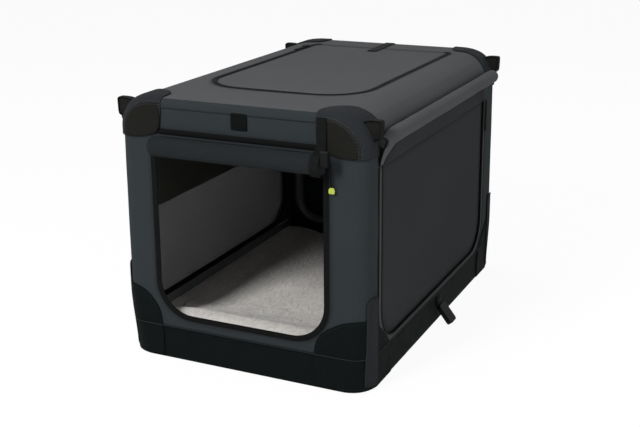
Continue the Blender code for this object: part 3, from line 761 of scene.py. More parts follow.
# %% Base band
AROUND = [4 * QUARTER * (k + 0.5) / 232 for k in range(232)]
levels = [(0.0, -0.0040), (0.0006, -0.0018), (0.0022, -0.0004), (0.0050, 0.0), (0.015, 0.0), (0.028, 0.0)]
levels += [(0.042, 0.0), (0.0510, 0.0), (0.0545, -0.0001), (0.0553, -0.0008), (0.0551, -0.0018)]
levels += [(0.045, -0.0020), (0.025, -0.0020), (0.0060, -0.0020), (0.0021, -0.0060)]
rows = []
for z, out in levels:
    row = []
    for u in AROUND:
        soft = wrinkle(around(u, z), 0.05, 0.0005) if 0.004 < z < 0.05 and out == 0.0 else 0.0
        row.append(around(u, z, out + soft))
    rows.append(row)
base_band = skin("base_band", rows, band_cloth, True, True, True)
stands_for(base_band, "base_tray")
rim_path = [(u, 0.0548) for u in AROUND]
rim = cording("band_rim", rim_path, around, 0.0008, piping, 0.0018, True)
rim_seam = stitches("band_rim_seam", [(u, 0.0495) for u in AROUND], around, wall_thread, 0.0003, closed=True)
carried("base", base_band, rim, rim_seam)
print("band faces", len(base_band.data.polygons))

# %% [markdown]
# ## Front wall
# The front wall is a frame of cloth round the doorway. It turns both corners and meets the side walls
# there. The opening has wide round corners at the sill, because its zip couldn't turn a tight one.

# %% Front wall with its doorway
DOOR = (-0.1472, 0.1451, 0.070, 0.358)
door_radii = (0.060, 0.018, 0.018, 0.060)
door_edge = rounded(*DOOR, door_radii, (26, 26), 10)
END_REACH = QUARTER - 0.286
front_cut = rounded(-END_REACH, END_REACH, BAND_TOP, SEAM_Z, (0.004,) * 4, (26, 26), 10)
front_wall, area = surround("front_wall_cloth", door_edge, front_cut, on_front, wall_cloth, 3.0)
stands_for(front_wall, "front_wall")
sewn(front_wall, 2 * END_REACH, SEAM_Z - BAND_TOP, area)
door_tape = tape("door_zip_tape", grow(door_edge, -0.0030), on_front, 0.0076, 0.0007, zip_tape, closed=True)
coil_line = spaced(grow(door_edge, -0.0066), 0.004, True)
door_coil = cording("door_zip_coil", coil_line, on_front, 0.0012, zip_tape, 0.0001, True)
welt_line = spaced(grow(door_edge, 0.0020), 0.005, True)
door_welt = cording("door_welt", welt_line, on_front, 0.0010, piping, 0.0002, True)
door_seam = stitches("door_seam", grow(door_edge, 0.0060), on_front, wall_thread, 0.0002, closed=True)
wall_goods(front_wall, door_tape, door_coil, door_welt, door_seam)

# %% [markdown]
# ## Rear wall
# The rear wall has a doorway of its own, closed by a net door that hinges at the top. The door is a
# little smaller than its opening, so a facing of dark tape runs round inside and covers the gap.

# %% Rear wall and door
NET_THICK = 0.0003
REAR_GAP = 0.0014
FACING_WIDTH = 0.0090
REAR_DOOR = (-0.1451, 0.1451, 0.070, 0.335)
rear_edge = rounded(*REAR_DOOR, door_radii, (26, 26), 10)
rear_wall, area = surround("rear_wall_cloth", rear_edge, front_cut, on_rear, wall_cloth, 7.0)
stands_for(rear_wall, "rear_wall")
sewn(rear_wall, 2 * END_REACH, SEAM_Z - BAND_TOP, area)
rear_tape = tape("rear_zip_tape", grow(rear_edge, 0.0034), on_rear, 0.0056, 0.0006, zip_tape, closed=True)
rear_seam = stitches("rear_seam", grow(rear_edge, 0.0105), on_rear, wall_thread, 0.0002, closed=True)
facing_line = grow(rear_edge, 0.0010)
rear_facing = tape("rear_facing", facing_line, on_rear, FACING_WIDTH, 0.0006, zip_tape, -0.0036, True)
wall_goods(rear_wall, rear_tape, rear_seam, rear_facing)
rear_inner = grow(rear_edge, -REAR_GAP)
rear_door, area = panel(
    "rear_door_cloth", rear_inner, on_rear, rear_cloth, NET_THICK, out=-0.0018, slack=0.0004, seed=9.0
)
stands_for(rear_door, "rear_door")
sewn(rear_door, 0.290, 0.265, area)
door_goods("back_door", rear_door)

# %% [markdown]
# ## Side walls and window panels
# Each long side is nearly all window. A narrow frame of wall cloth holds a mesh panel, and between
# them runs a zip: two dark lines with a paler tape showing between them. A facing inside covers the gap,
# as on the rear door. Above the hinge a strip of the same mesh stays with the wall.

# %% Side walls and windows
WINDOW = (-0.2570, 0.2319, 0.062, 0.3600)
window_radii = (0.055, 0.014, 0.014, 0.055)
window_edge = rounded(*WINDOW, window_radii, (36, 24), 10)
side_cut = rounded(-0.2857, 0.2857, BAND_TOP, 0.3683, (0.004,) * 4, (36, 24), 10)
STRIP_LENGTH = 1.66
STRIP_FILLED = 1.62
NET_GAP = 0.0016
HEAD_GAP = 0.0005
net_left, net_right = WINDOW[0] + NET_GAP, WINDOW[1] - NET_GAP
net_radii = (0.055, 0.002, 0.002, 0.055)
net_line = rounded(net_left, net_right, WINDOW[2] + NET_GAP, HINGE_Z, net_radii, (36, 24), 10)
head_left, head_right = WINDOW[0] + HEAD_GAP, WINDOW[1] - HEAD_GAP
head_radii = (0.002, 0.012, 0.012, 0.002)
head_line = rounded(head_left, head_right, HINGE_Z + 0.0004, WINDOW[3] - HEAD_GAP, head_radii, (30, 4), 4)


def normals_of(path):
    made = []
    for i in range(len(path)):
        a = path[max(i - 1, 0)]
        b = path[min(i + 1, len(path) - 1)]
        da, db = b[0] - a[0], b[1] - a[1]
        size = math.hypot(da, db) or 1.0
        made.append((db / size, -da / size))
    return made


def shifted(path, amount):
    return [(a + amount * na, b + amount * nb) for (a, b), (na, nb) in zip(path, normals_of(path))]


def zip_ends_here(i):
    return window_edge[i][1] > WINDOW[3] - 0.016, -window_edge[i][0]


zip_start = max(range(len(window_edge)), key=zip_ends_here)
zip_path = [p for p in window_edge[zip_start:] + window_edge[:zip_start] if p[1] < WINDOW[3] - 0.015]
for side, sx, place in SIDES:
    wall, area = surround(side + "_wall_cloth", window_edge, side_cut, place, wall_cloth, 11.0 + sx)
    stands_for(wall, side + "_wall")
    # Its cut is printed as strips, because the frame covers too little of its outline. The width comes
    # from the mesh's own area, so this pair says nothing by itself.
    sewn(wall, STRIP_LENGTH, area / STRIP_FILLED, area)
    welt_line = spaced(shifted(zip_path, 0.0118), 0.005)
    welt = cording(side + "_window_welt", welt_line, place, 0.0013, zip_tape, 0.0002)
    binding = tape(side + "_window_tape", shifted(zip_path, 0.0060), place, 0.0088, 0.0007, pale_piping)
    coil_line = spaced(shifted(zip_path, 0.0002), 0.004)
    coil = cording(side + "_window_coil", coil_line, place, 0.0013, zip_tape, 0.0005)
    seam = stitches(side + "_window_seam", shifted(zip_path, 0.0150), place, wall_thread, 0.0002)
    facing_line = spaced(shifted(zip_path, 0.0010), 0.004)
    facing = tape(side + "_window_facing", facing_line, place, FACING_WIDTH, 0.0006, zip_tape, -0.0045)
    wall_goods(wall, welt, binding, coil, seam, facing)
    head, area = panel(
        side + "_window_head", head_line, place, mesh_cloth, NET_THICK, 4, out=-0.0002, slack=0.0003
    )
    sewn(head, 0.488, 0.025, area)
    wall_goods(head)
    net, area = panel(
        side + "_window_mesh", net_line, place, mesh_cloth, NET_THICK,
        out=-0.0021, swell=-0.0006, seed=17.0 * sx,
    )
    stands_for(net, side + "_mesh_door")
    sewn(net, 0.489, 0.273, area)
    door_goods(side + "_door", net)

# %% [markdown]
# ## Roof
# The roof is one sheet that rolls over both shoulders and laps 14 mm down the ends. It is skinned
# from the hatch outwards: flat rings first, then rings that follow the shoulders down to the seams.

# %% Roof sheet
HATCH = (-0.1312, 0.1373, -0.1941, 0.2449)
hatch_radii = (0.070, 0.015, 0.015, 0.070)
HATCH_SIDES = (26, 36)
hatch_edge = rounded(*HATCH, hatch_radii, HATCH_SIDES, 10)


def roof_ring(rise, index, out=0.0):
    side_share = 1.0 if abs(ring_top[index][0]) > HALF_W - SHOULDER - 0.001 else 0.0
    end_share = 1.0 if abs(ring_top[index][1]) > HALF_L - BROW - 0.001 else 0.0
    low = (0.3683 * side_share + SEAM_Z * end_share) / max(side_share + end_share, 1.0)
    if side_share + end_share == 0.0:
        low = 0.386
    z = low + (TOP - low) * math.sin(math.radians(90 * rise))
    across, along, radius = section(z, out)
    x, y = rounded(-across, across, -along, along, (radius,) * 4, HATCH_SIDES, 10)[index]
    return Vector((x, y, z + (out if rise == 1.0 else 0.0)))


across, along, radius = section(TOP)
ring_top = rounded(-across, across, -along, along, (radius,) * 4, HATCH_SIDES, 10)
rows = []
for k in range(7):
    row = []
    for x, y in between(hatch_edge, ring_top, k / 6):
        point = on_roof(x, y)
        row.append(on_roof(x, y, wrinkle(point, 0.09, 0.0007 * (1 - k / 6), 5.0)))
    rows.append(row)
for k in range(1, 11):
    rows.append([roof_ring(1 - k / 10, i) for i in range(len(ring_top))])
roof_sheet = skin("roof_sheet", rows, roof_cloth)
area = flat_area(roof_sheet)
thicken(roof_sheet, 0.0014)
stands_for(roof_sheet, "roof_panel")
sewn(roof_sheet, 0.467, 0.640, area)
carried("roof", roof_sheet)

# %% [markdown]
# ## Roof hatch
# The hatch opens on three sides and folds back on the fourth. Its zip is the dark line in the roof,
# with the coil in the gap, tape on the roof and a hem on the hatch.

# %% Hatch panel and zip
hatch_cut = grow(hatch_edge, -0.0004)
hatch_sheet, area = panel("hatch_sheet", hatch_cut, on_roof, roof_cloth, 0.0014, 12, slack=0.0007, seed=5.0)
stands_for(hatch_sheet, "hatch_panel")
sewn(hatch_sheet, 0.268, 0.4385, area)
count = len(hatch_edge)
rear_side = [i for i in range(count) if hatch_edge[i][1] > HATCH[3] - 0.0005]
start_at = rear_side[-1] + 1
zip_run = [hatch_edge[(start_at + i) % count] for i in range(count - len(rear_side))]
tape_line = spaced(zip_run, 0.006)

roof_tape = tape("hatch_zip_tape", shifted(tape_line, 0.0028), on_roof, 0.0050, 0.0006, zip_tape)
roof_coil = cording("hatch_zip_coil", tape_line, on_roof, 0.0011, zip_tape, 0.0005)
hatch_hem = tape("hatch_hem", shifted(tape_line, -0.0022), on_roof, 0.0036, 0.0006, zip_tape, 0.0001)
roof_seam = stitches("hatch_seam", shifted(tape_line, 0.0075), on_roof, roof_cloth, 0.0002)
fold_line = [(HATCH[0] + 0.012 + 0.245 * k / 40, HATCH[3] + 0.0015) for k in range(41)]
fold_seam = stitches("hatch_fold_seam", fold_line, on_roof, roof_cloth, 0.0003)
carried("roof", roof_tape, roof_coil, roof_seam, fold_seam)
carried("hatch", hatch_sheet, hatch_hem)
print("zip runs", round(sum(math.dist(a, b) for a, b in zip(tape_line, tape_line[1:])), 3), "m")

# %% [markdown]
# ## Corner caps
# A padded cap is sewn over each top corner. It has to follow three rounded faces at once, so rays go
# out from inside the corner in a fan, each stops where it meets the cover, and the cap's edge is where
# a rounded box about the corner ends. One cap is worked out and mirrored to the other corners.

# %% Rays from inside a corner to the cover
CORNERS = (("front_right", 1, -1), ("front_left", -1, -1), ("rear_right", 1, 1), ("rear_left", -1, 1))
HEART = Vector((0.150, 0.256, 0.362))


def beyond(point, out):
    if point.z > TOP + out:
        return point.z - TOP - out
    across, along, radius = section(point.z, out)
    over_x = point.x - across + radius
    over_y = point.y - along + radius
    return math.hypot(max(over_x, 0), max(over_y, 0)) + min(max(over_x, over_y), 0) - radius


def last_inside(near, far, rounds, inside):
    for _ in range(rounds):
        middle = (near + far) / 2
        if inside(middle):
            near = middle
        else:
            far = middle
    return near


def cover_hit(direction, out):
    reach = last_inside(0.0, 0.15, 26, lambda length: beyond(HEART + direction * length, out) <= 0)
    return HEART + direction * reach


def cap_reach(point):
    below = TOP - point.z
    deep = 0.0565 + 0.30 * below
    shares = ((HALF_W - point.x) / 0.078, (HALF_L - point.y) / deep, below / 0.0625)
    return sum(max(share, 0.0) ** 3.6 for share in shares)


# %% Rings of a cap
fan_axis = Vector((1.0, 1.0, 0.85)).normalized()
fan_side = fan_axis.cross(Vector((0, 0, 1))).normalized()
fan_up = fan_side.cross(fan_axis)


def fan_ray(turn_angle, tilt):
    lean = fan_side * math.cos(turn_angle) + fan_up * math.sin(turn_angle)
    return fan_axis * math.cos(tilt) + lean * math.sin(tilt)


CAP_STEPS = 72
cap_edges = []
for k in range(CAP_STEPS):
    angle = 2 * math.pi * k / CAP_STEPS
    limit = last_inside(0.05, 2.2, 24, lambda tilt: cap_reach(cover_hit(fan_ray(angle, tilt), 0.0)) < 1.0)
    cap_edges.append((angle, limit))
cap_rings = []
cap_form = [(0.0011, 1.0), (0.0024, 0.985), (0.0027, 0.95)]
cap_form += [(0.0026, 0.9 - k / 13) for k in range(12)]
for out, share in cap_form:
    ring = []
    for angle, limit in cap_edges:
        ring.append(cover_hit(fan_ray(angle, limit * max(share, 0.02)), out))
    cap_rings.append(ring)
print("cap reaches down to", round(min(p.z for p in cap_rings[0]), 4), "m")


def mirrored(points, sx, sy):
    return [Vector((p.x * sx, p.y * sy, p.z)) for p in points]


# %% Outlines drawn on the unrolled cover
def curved(points, rounds=3, closed=True):
    for _ in range(rounds):
        made = [] if closed else [points[0]]
        pairs = zip(points, points[1:] + points[:1]) if closed else zip(points, points[1:])
        for a, b in pairs:
            made.append((a[0] * 0.75 + b[0] * 0.25, a[1] * 0.75 + b[1] * 0.25))
            made.append((a[0] * 0.25 + b[0] * 0.75, a[1] * 0.25 + b[1] * 0.75))
        points = made if closed else made + [points[-1]]
    return points


def corner_place(sx, sy):
    def place(v, z, out=0.0):
        point = around(v, z, out)
        return Vector((point.x * sx, point.y * -sy, point.z))
    return place


# %% [markdown]
# The front lobe of a cap is a second, darker piece. Its upper edge is a curved seam sewn twice.

# %% Caps, lobes, seams and bindings
LOBE_SEAM = [(0.1285, 0.4110), (0.154, 0.4110), (0.169, 0.4053), (0.1804, 0.3978), (0.1872, 0.3876)]
LOBE_SEAM += [(0.1912, 0.3773), (0.1925, 0.3600)]
LOBE_REST = [(0.1860, 0.3568), (0.1710, 0.3566), (0.1510, 0.3600), (0.1365, 0.3650), (0.1285, 0.3740)]
lobe_line = spaced(curved(LOBE_SEAM + LOBE_REST, 2), 0.0030, True)
seam_steps = spaced(curved(LOBE_SEAM, 3, False), 0.003)
for corner, sx, sy in CORNERS:
    place = corner_place(sx, sy)
    rings = [mirrored(ring, sx, sy) for ring in cap_rings]
    cap = skin(corner + "_cap_cloth", rings, cap_cloth, fill_last=True)
    area = flat_area(cap)
    thicken(cap, 0.0012, middle=Vector((0.0, 0.0, 0.30)))
    stands_for(cap, corner + "_cap")
    sewn(cap, 0.135, 0.135, area)
    lobe, area = panel(
        corner + "_cap_lobe", lobe_line, place, lobe_cloth, 0.0010, 10, out=0.0036, slack=0.0003
    )
    sewn(lobe, 0.064, 0.055, area)
    fold = cording(corner + "_cap_fold", seam_steps, place, 0.0011, cap_cloth, 0.0034)
    stitched = [
        stitches(corner + "_cap_stitch_%d" % k, shifted(seam_steps, step), place, thread, 0.0037)
        for k, step in enumerate((-0.0022, 0.0022))
    ]
    carried("roof", cap, lobe, fold, *stitched)

# %% [markdown]
# ## Corner boots
# Each foot corner wears a boot of tough cloth, with a lobe on both faces and a narrow strip over the
# corner itself. The lobes are drawn on the unrolled cover and wrapped round the corner.

# %% Boots and corner strips
BOOT = [(0.1390, 0.0030), (0.1400, 0.0550), (0.1440, 0.0790), (0.1510, 0.0910), (0.1620, 0.1040)]
BOOT += [(0.1760, 0.1130), (0.1920, 0.1170), (0.2150, 0.1150), (0.2376, 0.0980), (0.2576, 0.0810)]
BOOT += [(0.2800, 0.0600), (0.2880, 0.0370), (0.2890, 0.0030)]
WIDE_BOOT = [(0.1190, 0.0030), (0.1200, 0.0550), (0.1245, 0.0770), (0.1330, 0.0890), (0.1460, 0.0990)]
WIDE_BOOT += [(0.1620, 0.1080)] + BOOT[5:]


def boot_outline(points):
    return spaced(curved([points[0]] * 3 + points + [points[-1]] * 3, 2), 0.0045, True)


STRIP = rounded(0.2030, 0.2330, 0.0080, 0.1480, (0.003, 0.010, 0.010, 0.003), (40, 6), 5)
for corner, sx, sy in CORNERS:
    place = corner_place(sx, sy)
    boot_line = boot_outline(WIDE_BOOT if sx > 0 and sy < 0 else BOOT)
    boot, area = panel(
        corner + "_boot_cloth", boot_line, place, band_cloth, 0.0011, 12, out=0.0014, slack=0.0004
    )
    stands_for(boot, corner + "_boot")
    sewn(boot, 0.150, 0.116, area)
    strip, area = panel(
        corner + "_corner_strip", STRIP, place, cap_cloth, 0.0010, 6, out=0.0026, slack=0.0003
    )
    sewn(strip, 0.030, 0.140, area)
    strip_line = grow(STRIP, -0.0028)
    strip_seam = stitches(corner + "_strip_seam", strip_line, place, wall_thread, 0.0027, closed=True)
    boot_seam = stitches(corner + "_boot_seam", grow(boot_line, -0.0035)[8:-8], place, wall_thread, 0.0015)
    wall_goods(boot, strip, strip_seam, boot_seam)

# %% [markdown]
# ## Header
# At both ends the dark wall cloth runs up over the brow, so the pale roof cloth stops right at the top
# edge. The header strip lies over the lap of the roof sheet.

# %% Header strips over both brows
for name, place, seed in (("front_header", on_front, 21.0), ("rear_header", on_rear, 23.0)):
    rows = []
    for k in range(13):
        tilt = math.radians(-22 + 94 * k / 12)
        z = BROW_Z + BROW * math.sin(tilt)
        row = []
        for j in range(61):
            x = -0.150 + 0.300 * j / 60
            rise = 0.0007 + wrinkle(Vector((x, 0, z)), 0.03, 0.0003, seed)
            row.append(place(x, min(z, TOP - 0.0006), rise) + Vector((0, 0, sag(x, 0.2999))))
        rows.append(row)
    header, area = open_sheet(name, rows, wall_cloth, 0.0007, -1.0)
    sewn(header, 0.300, 0.018, area)
    carried("roof", header)

# %% [markdown]
# ## Seams of the roof
# Piping closes the seams between the roof and the walls, and runs up over the brow between the caps.

# %% Piping along the roof's seams
for name, place, low, high, level in (
    ("front_brow_piping", on_front, -0.150, 0.150, SEAM_Z),
    ("rear_brow_piping", on_rear, -0.150, 0.150, SEAM_Z),
    ("right_eave_piping", on_right, -0.250, 0.250, SHOULDER_Z),
    ("left_eave_piping", on_left, -0.250, 0.250, SHOULDER_Z),
):
    line = [(low + (high - low) * k / 60, level) for k in range(61)]
    pipe = cording(name, line, place, 0.0011, piping, 0.0001)
    carried("roof", pipe)

# %% [markdown]
# ## Rolled doors
# The front door and both side flaps are rolled up and tied. A roll is a spiral of cloth, so each
# section along it is a slightly uneven ring with a step where the last turn ends, and its ends sink in
# towards the middle as the turns do.


# %% A roll of cloth
def cloth_roll(name, start, finish_at, radius, finish, hem_angle, seed, droop=None):
    steps = 26
    rings = []
    stops = [(0.0, 0.45, 0.004), (0.0, 0.62, 0.0015), (0.0, 0.66, 0.003), (0.0, 0.82, 0.0008)]
    stops += [(0.0, 0.86, 0.002), (0.0, 0.965, 0.0), (0.004, 1.0, 0.0)]
    length = (finish_at - start).length
    shares = [(s[0] / length, s[1], s[2] / length) for s in stops]
    plan = [(a + sink, size) for a, size, sink in shares]
    plan += [((k + 1) / 49, 1.0) for k in range(48)]
    plan += [(1 - a - sink, size) for a, size, sink in reversed(shares)]
    along = (finish_at - start).normalized()
    across = along.cross(Vector((0, 0, 1))).normalized()
    for share, size in plan:
        middle = start + (finish_at - start) * clamp(share, 0.0, 1.0)
        drift = wrinkle(middle, 0.11, 0.0006, seed)
        slim = 1.0
        if droop:
            tail = ease(1 - length * share / 0.034)
            middle = middle + droop * tail
            slim = 1 - 0.32 * tail
        ring = []
        for k in range(steps):
            angle = hem_angle + 2 * math.pi * k / steps
            step = 0.0014 * (1 - k / (steps - 1)) if size == 1.0 else 0.0
            puff = wrinkle(middle * 0.6 + Vector((0, 0, angle * 0.03)), 0.02, 0.0005, seed)
            reach = (radius * size - 0.0009) * slim + (step - 0.0007 + puff + drift if size == 1.0 else 0.0)
            ring.append(middle + across * math.cos(angle) * reach + Vector((0, 0, math.sin(angle) * reach)))
        rings.append(ring)
    roll_piece = skin(name, rings, finish, True, True, True)
    print(name, "length", round(length, 3), "m, radius", round(radius, 4))
    return roll_piece


# %% The three rolls
front_roll = cloth_roll(
    "front_roll_cloth", Vector((-0.1353, -0.3258, 0.3485)), Vector((0.1443, -0.3258, 0.3485)),
    0.0155, flap_cloth, math.radians(250), 2.0,
)
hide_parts("front_roll")
carried("roof", front_roll)
for side, sx, place in SIDES:
    roll_piece = cloth_roll(
        side + "_roll_cloth", Vector((sx * 0.2184, -0.2759, 0.3816)), Vector((sx * 0.2184, 0.2399, 0.3816)),
        0.0120, roll_cloth, math.radians(-90), 5.0 + sx, Vector((-0.0035 * sx, 0.0, -0.0060)),
    )
    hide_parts(side + "_roll")
    carried("roof", roll_piece)

# %% [markdown]
# Each side roll hangs from a narrow root of its own cloth, sewn into the eave.

# %% Root of each side roll
ROOT = [(0.2052, 0.3742), (0.2100, 0.3720), (0.2150, 0.3692), (0.2184, 0.3686)]
for side, sx, place in SIDES:
    rows = [[Vector((sx * x, -0.2350 + 0.4710 * k / 60, z)) for k in range(61)] for x, z in ROOT]
    root, area = open_sheet(side + "_roll_root", rows, roll_cloth, 0.0006)
    sewn(root, 0.471, 0.0146, area)
    carried("roof", root)

# %% [markdown]
# The last strip of each side flap isn't rolled: it leaves the front end of the roll and runs down into
# the window's zip. A header tape holds the top of the front door, just above its roll.

# %% Flap ends and the header tape
for side, sx, place in SIDES:
    rows = []
    for k in range(9):
        t = k / 8
        row = []
        for j in range(7):
            s = j / 6
            y = (-0.2775 + 0.0400 * s) * (1 - t) + (-0.2700 + 0.0130 * s) * t
            z = (0.3800 - 0.0080 * s) * (1 - t) + 0.3400 * t
            x = 0.2215 * (1 - t) ** 1.3 + 0.2066 * (1 - (1 - t) ** 1.3) + 0.0008 * math.sin(math.pi * s)
            row.append(Vector((sx * x, y, z)))
        rows.append(row)
    flap, area = open_sheet(side + "_flap_end", rows, roll_cloth, 0.0010)
    sewn(flap, 0.040, 0.045, area)
    wall_goods(flap)
    for name, column in (("front", 0), ("rear", 6)):
        edge_frames = []
        for near, here, after in zip([rows[0]] + rows, rows, rows[1:] + [rows[-1]]):
            run = (after[column] - near[column]).normalized()
            outward = Vector((sx, 0, 0))
            edge_frames.append((here[column], run.cross(outward).normalized(), outward))
        edge = sweep(side + "_flap_" + name + "_edge", edge_frames, round_profile(0.0012), zip_tape)
        wall_goods(edge)
header_line = [(-0.1400 + 0.2760 * k / 60, 0.3682) for k in range(61)]
header_tape = tape("front_header_tape", header_line, on_front, 0.0086, 0.0014, zip_tape)
seam_above = [(x, 0.3745) for x, z in header_line]
header_seam = stitches("front_header_seam", seam_above, on_front, wall_thread, 0.0003)
carried("roof", header_tape, header_seam)

# %% [markdown]
# ## Webbing
# Webbing is a flat strip that bends only across its face. Each strap is a ribbon along a path in one
# plane, with its width square to that plane and its edges thinned as a woven edge is.


# %% Ribbon along a path in a plane
def ribbon(name, node, points, width_way, width, thick):
    rows = []
    for i, point in enumerate(points):
        run = (points[min(i + 1, len(points) - 1)] - points[max(i - 1, 0)]).normalized()
        rise = run.cross(width_way).normalized()
        row = []
        for face in (1, -1):
            for k in range(9):
                a = face * (k / 4 - 1)
                edge = 1 - abs(a) ** 8 * 0.7
                row.append(point + width_way * a * width / 2 + rise * face * thick / 2 * edge)
        rows.append(row)
    band = skin(name, rows, black_webbing, True, True, True)
    stands_for(band, node)
    return band


def plane_path(points, build):
    return [build(a, b) for a, b in spaced(curved(points, 2, False), 0.0025)]


# %% Loops on the caps
LOOP = [(0.1880, 0.4055), (0.1960, 0.4085), (0.2050, 0.4092), (0.2150, 0.4090), (0.2162, 0.4088)]
LOOP += [(0.2168, 0.4070), (0.2164, 0.3960), (0.2158, 0.3860), (0.2150, 0.3835), (0.2120, 0.3820)]
LOOP += [(0.2040, 0.3800)]
LOOP_Y = 0.285
for corner, sx, sy in CORNERS:
    def in_loop(x, z):
        return Vector((sx * x, sy * LOOP_Y, z))

    loop_path = plane_path(LOOP, in_loop)
    loop = ribbon(corner + "_loop_webbing", corner + "_loop", loop_path, Vector((0, 1, 0)), 0.014, 0.0017)
    middle = in_loop(0.2070, 0.3950)
    filling = []
    for depth, size in ((-0.0052, 0.90), (-0.0045, 0.97), (0.0045, 0.97), (0.0052, 0.90)):
        filling.append([middle + (p - middle) * size * 0.93 + Vector((0, depth, 0)) for p in loop_path])
    core = skin(corner + "_loop_core", filling, lobe_cloth, True, True, True)
    carried("roof", loop, core)

# %% Strap that ties the front roll
wall_y = -0.3150
STRAP_RUN = [(wall_y + 0.0008, 0.4130), (wall_y - 0.0002, 0.4040), (wall_y - 0.0004, 0.3850)]
STRAP_RUN += [(wall_y - 0.0010, 0.3700), (-0.3200, 0.3665), (-0.3262, 0.3655), (-0.3340, 0.3640)]
STRAP_RUN += [(-0.3415, 0.3570), (-0.3432, 0.3480), (-0.3410, 0.3390), (-0.3340, 0.3325)]
STRAP_RUN += [(-0.3258, 0.3312), (-0.3185, 0.3345), (-0.3150, 0.3420)]
tie_path = plane_path(STRAP_RUN, lambda y, z: Vector((0.1376, y, z)))
tie = ribbon("roll_strap_webbing", "roll_strap", tie_path, Vector((1, 0, 0)), 0.0150, 0.0014)
carried("roof", tie)

# %% Strap on the roof, across the fold of the hatch
STRAP_X = -0.0021
STRAP_END = (0.4165, 0.4145, 0.4120, 0.4090, 0.4060, 0.4030, 0.4000, 0.3970)
roof_run = [on_roof(STRAP_X, 0.2050 + 0.0950 * k / 40, 0.0012) for k in range(41)]
roof_run += [on_rear(STRAP_X, z, 0.0012) for z in STRAP_END]
roof_run = [Vector((STRAP_X, p.y, p.z)) for p in roof_run]
top_strap = ribbon("roof_strap_webbing", "roof_strap", roof_run, Vector((1, 0, 0)), 0.0190, 0.0013)
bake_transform(top_strap)

# %% Straps on the long sides, which carry the buckles
for side, sx, place in SIDES:
    low_run = [(0.2066, 0.0440), (0.2068, 0.0380), (0.2068, 0.0300), (0.2075, 0.0250), (0.2110, 0.0215)]
    low_run += [(0.2125, 0.0250), (0.2110, 0.0280), (0.2084, 0.0300), (0.2082, 0.0400)]
    tag_path = plane_path(low_run, lambda x, z: Vector((sx * x, 0.0, z)))
    tag = ribbon(side + "_strap_webbing", side + "_strap", tag_path, Vector((0, 1, 0)), 0.0200, 0.0012)
    bar_tack = stitches(
        side + "_strap_tack", [(-0.0085 + 0.017 * k / 6, 0.0400) for k in range(7)],
        place, thread, 0.0039,
    )
    carried("base", tag, bar_tack)

# %% [markdown]
# ## Small parts
# The blank label is a doubled patch sewn on all round. The zip pulls are short cords: the front one
# ends in a soft yellow-green tab. They swing on their own bodies.

# %% Label patch
LABEL = rounded(-0.0083, 0.0182, 0.3812, 0.4063, (0.0015,) * 4, (10, 10), 3)
label, area = panel("label_cloth", LABEL, on_front, patch_cloth, 0.0008, 6, out=0.0014, slack=0.0001)
stands_for(label, "label_patch")
sewn(label, 0.0265, 0.0251, area)
label_line = grow(LABEL, -0.0016)
label_seam = stitches("label_seam", label_line, on_front, wall_thread, 0.0015, 0.0017, 0.0009, 0.0004, True)
carried("roof", label, label_seam)


# %% Zip pulls
def pull_cord(name, points, radius):
    rows = []
    for i, point in enumerate(points):
        before = points[max(i - 1, 0)]
        after = points[min(i + 1, len(points) - 1)]
        run = (after - before).normalized()
        side = run.cross(Vector((0, 1, 0.2))).normalized()
        up = side.cross(run)
        ring = []
        for k in range(10):
            angle = 2 * math.pi * k / 10
            swell = radius * (1 + 0.12 * math.sin(3 * angle + 18 * math.pi * i / len(points)))
            ring.append(point + side * math.cos(angle) * swell + up * math.sin(angle) * swell)
        rows.append(ring)
    cord = skin(name, rows, black_webbing, True, True, True)
    return cord


cord_x, cord_y = 0.1505, -0.3152
strand = [Vector((cord_x + 0.0022 * (k / 24) ** 2, cord_y, 0.3480 - 0.0350 * k / 24)) for k in range(25)]
pull_strand = pull_cord("front_pull_strand", strand, 0.0009)
TAB = [(0.1485, 0.3040), (0.1475, 0.3090), (0.1490, 0.3135), (0.1527, 0.3146), (0.1564, 0.3135)]
TAB += [(0.1579, 0.3090), (0.1569, 0.3040), (0.1527, 0.3052)]
tab_line = spaced(curved(TAB, 2), 0.0010, True)
tab_middle = (0.1527, 0.3095)
tab_rows = []
TAB_FORM = [(0.0013, 0.86), (0.0017, 1.0), (0.0007, 1.06), (-0.0005, 1.0), (-0.0010, 0.86), (-0.0006, 0.62)]
TAB_FORM += [(-0.0008, 0.3)]
for depth, size in TAB_FORM:
    tab_rows.append([
        Vector((
            tab_middle[0] + (x - tab_middle[0]) * size * 0.94,
            cord_y + depth,
            tab_middle[1] + (z - tab_middle[1]) * size * 0.94,
        ))
        for x, z in tab_line
    ])
pull_tab = skin("front_pull_tab", tab_rows, accent_rubber, True, True, True)
stands_for(pull_tab, "front_pull")
carried("front_zip_pull", pull_strand, pull_tab)

# %% The side and roof pulls
low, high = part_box("side_pull")
middle = [(a + b) / 2 for a, b in zip(low, high)]
drop = high[2] - low[2]
side_run = [Vector((middle[0] + 0.0024, middle[1], high[2] - drop * k / 20)) for k in range(21)]
side_tag = ribbon("side_pull_webbing", "side_pull", side_run, Vector((0, 1, 0)), 0.0070, 0.0016)
carried("side_zip_pull", side_tag)
low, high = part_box("hatch_pull")
middle = [(a + b) / 2 for a, b in zip(low, high)]
reach = high[1] - low[1]
roof_run = [Vector((middle[0], high[1] - reach * k / 16, TOP + 0.0014)) for k in range(17)]
roof_tag = ribbon("hatch_pull_webbing", "hatch_pull", roof_run, Vector((1, 0, 0)), 0.0070, 0.0015)
carried("hatch_zip_pull", roof_tag)
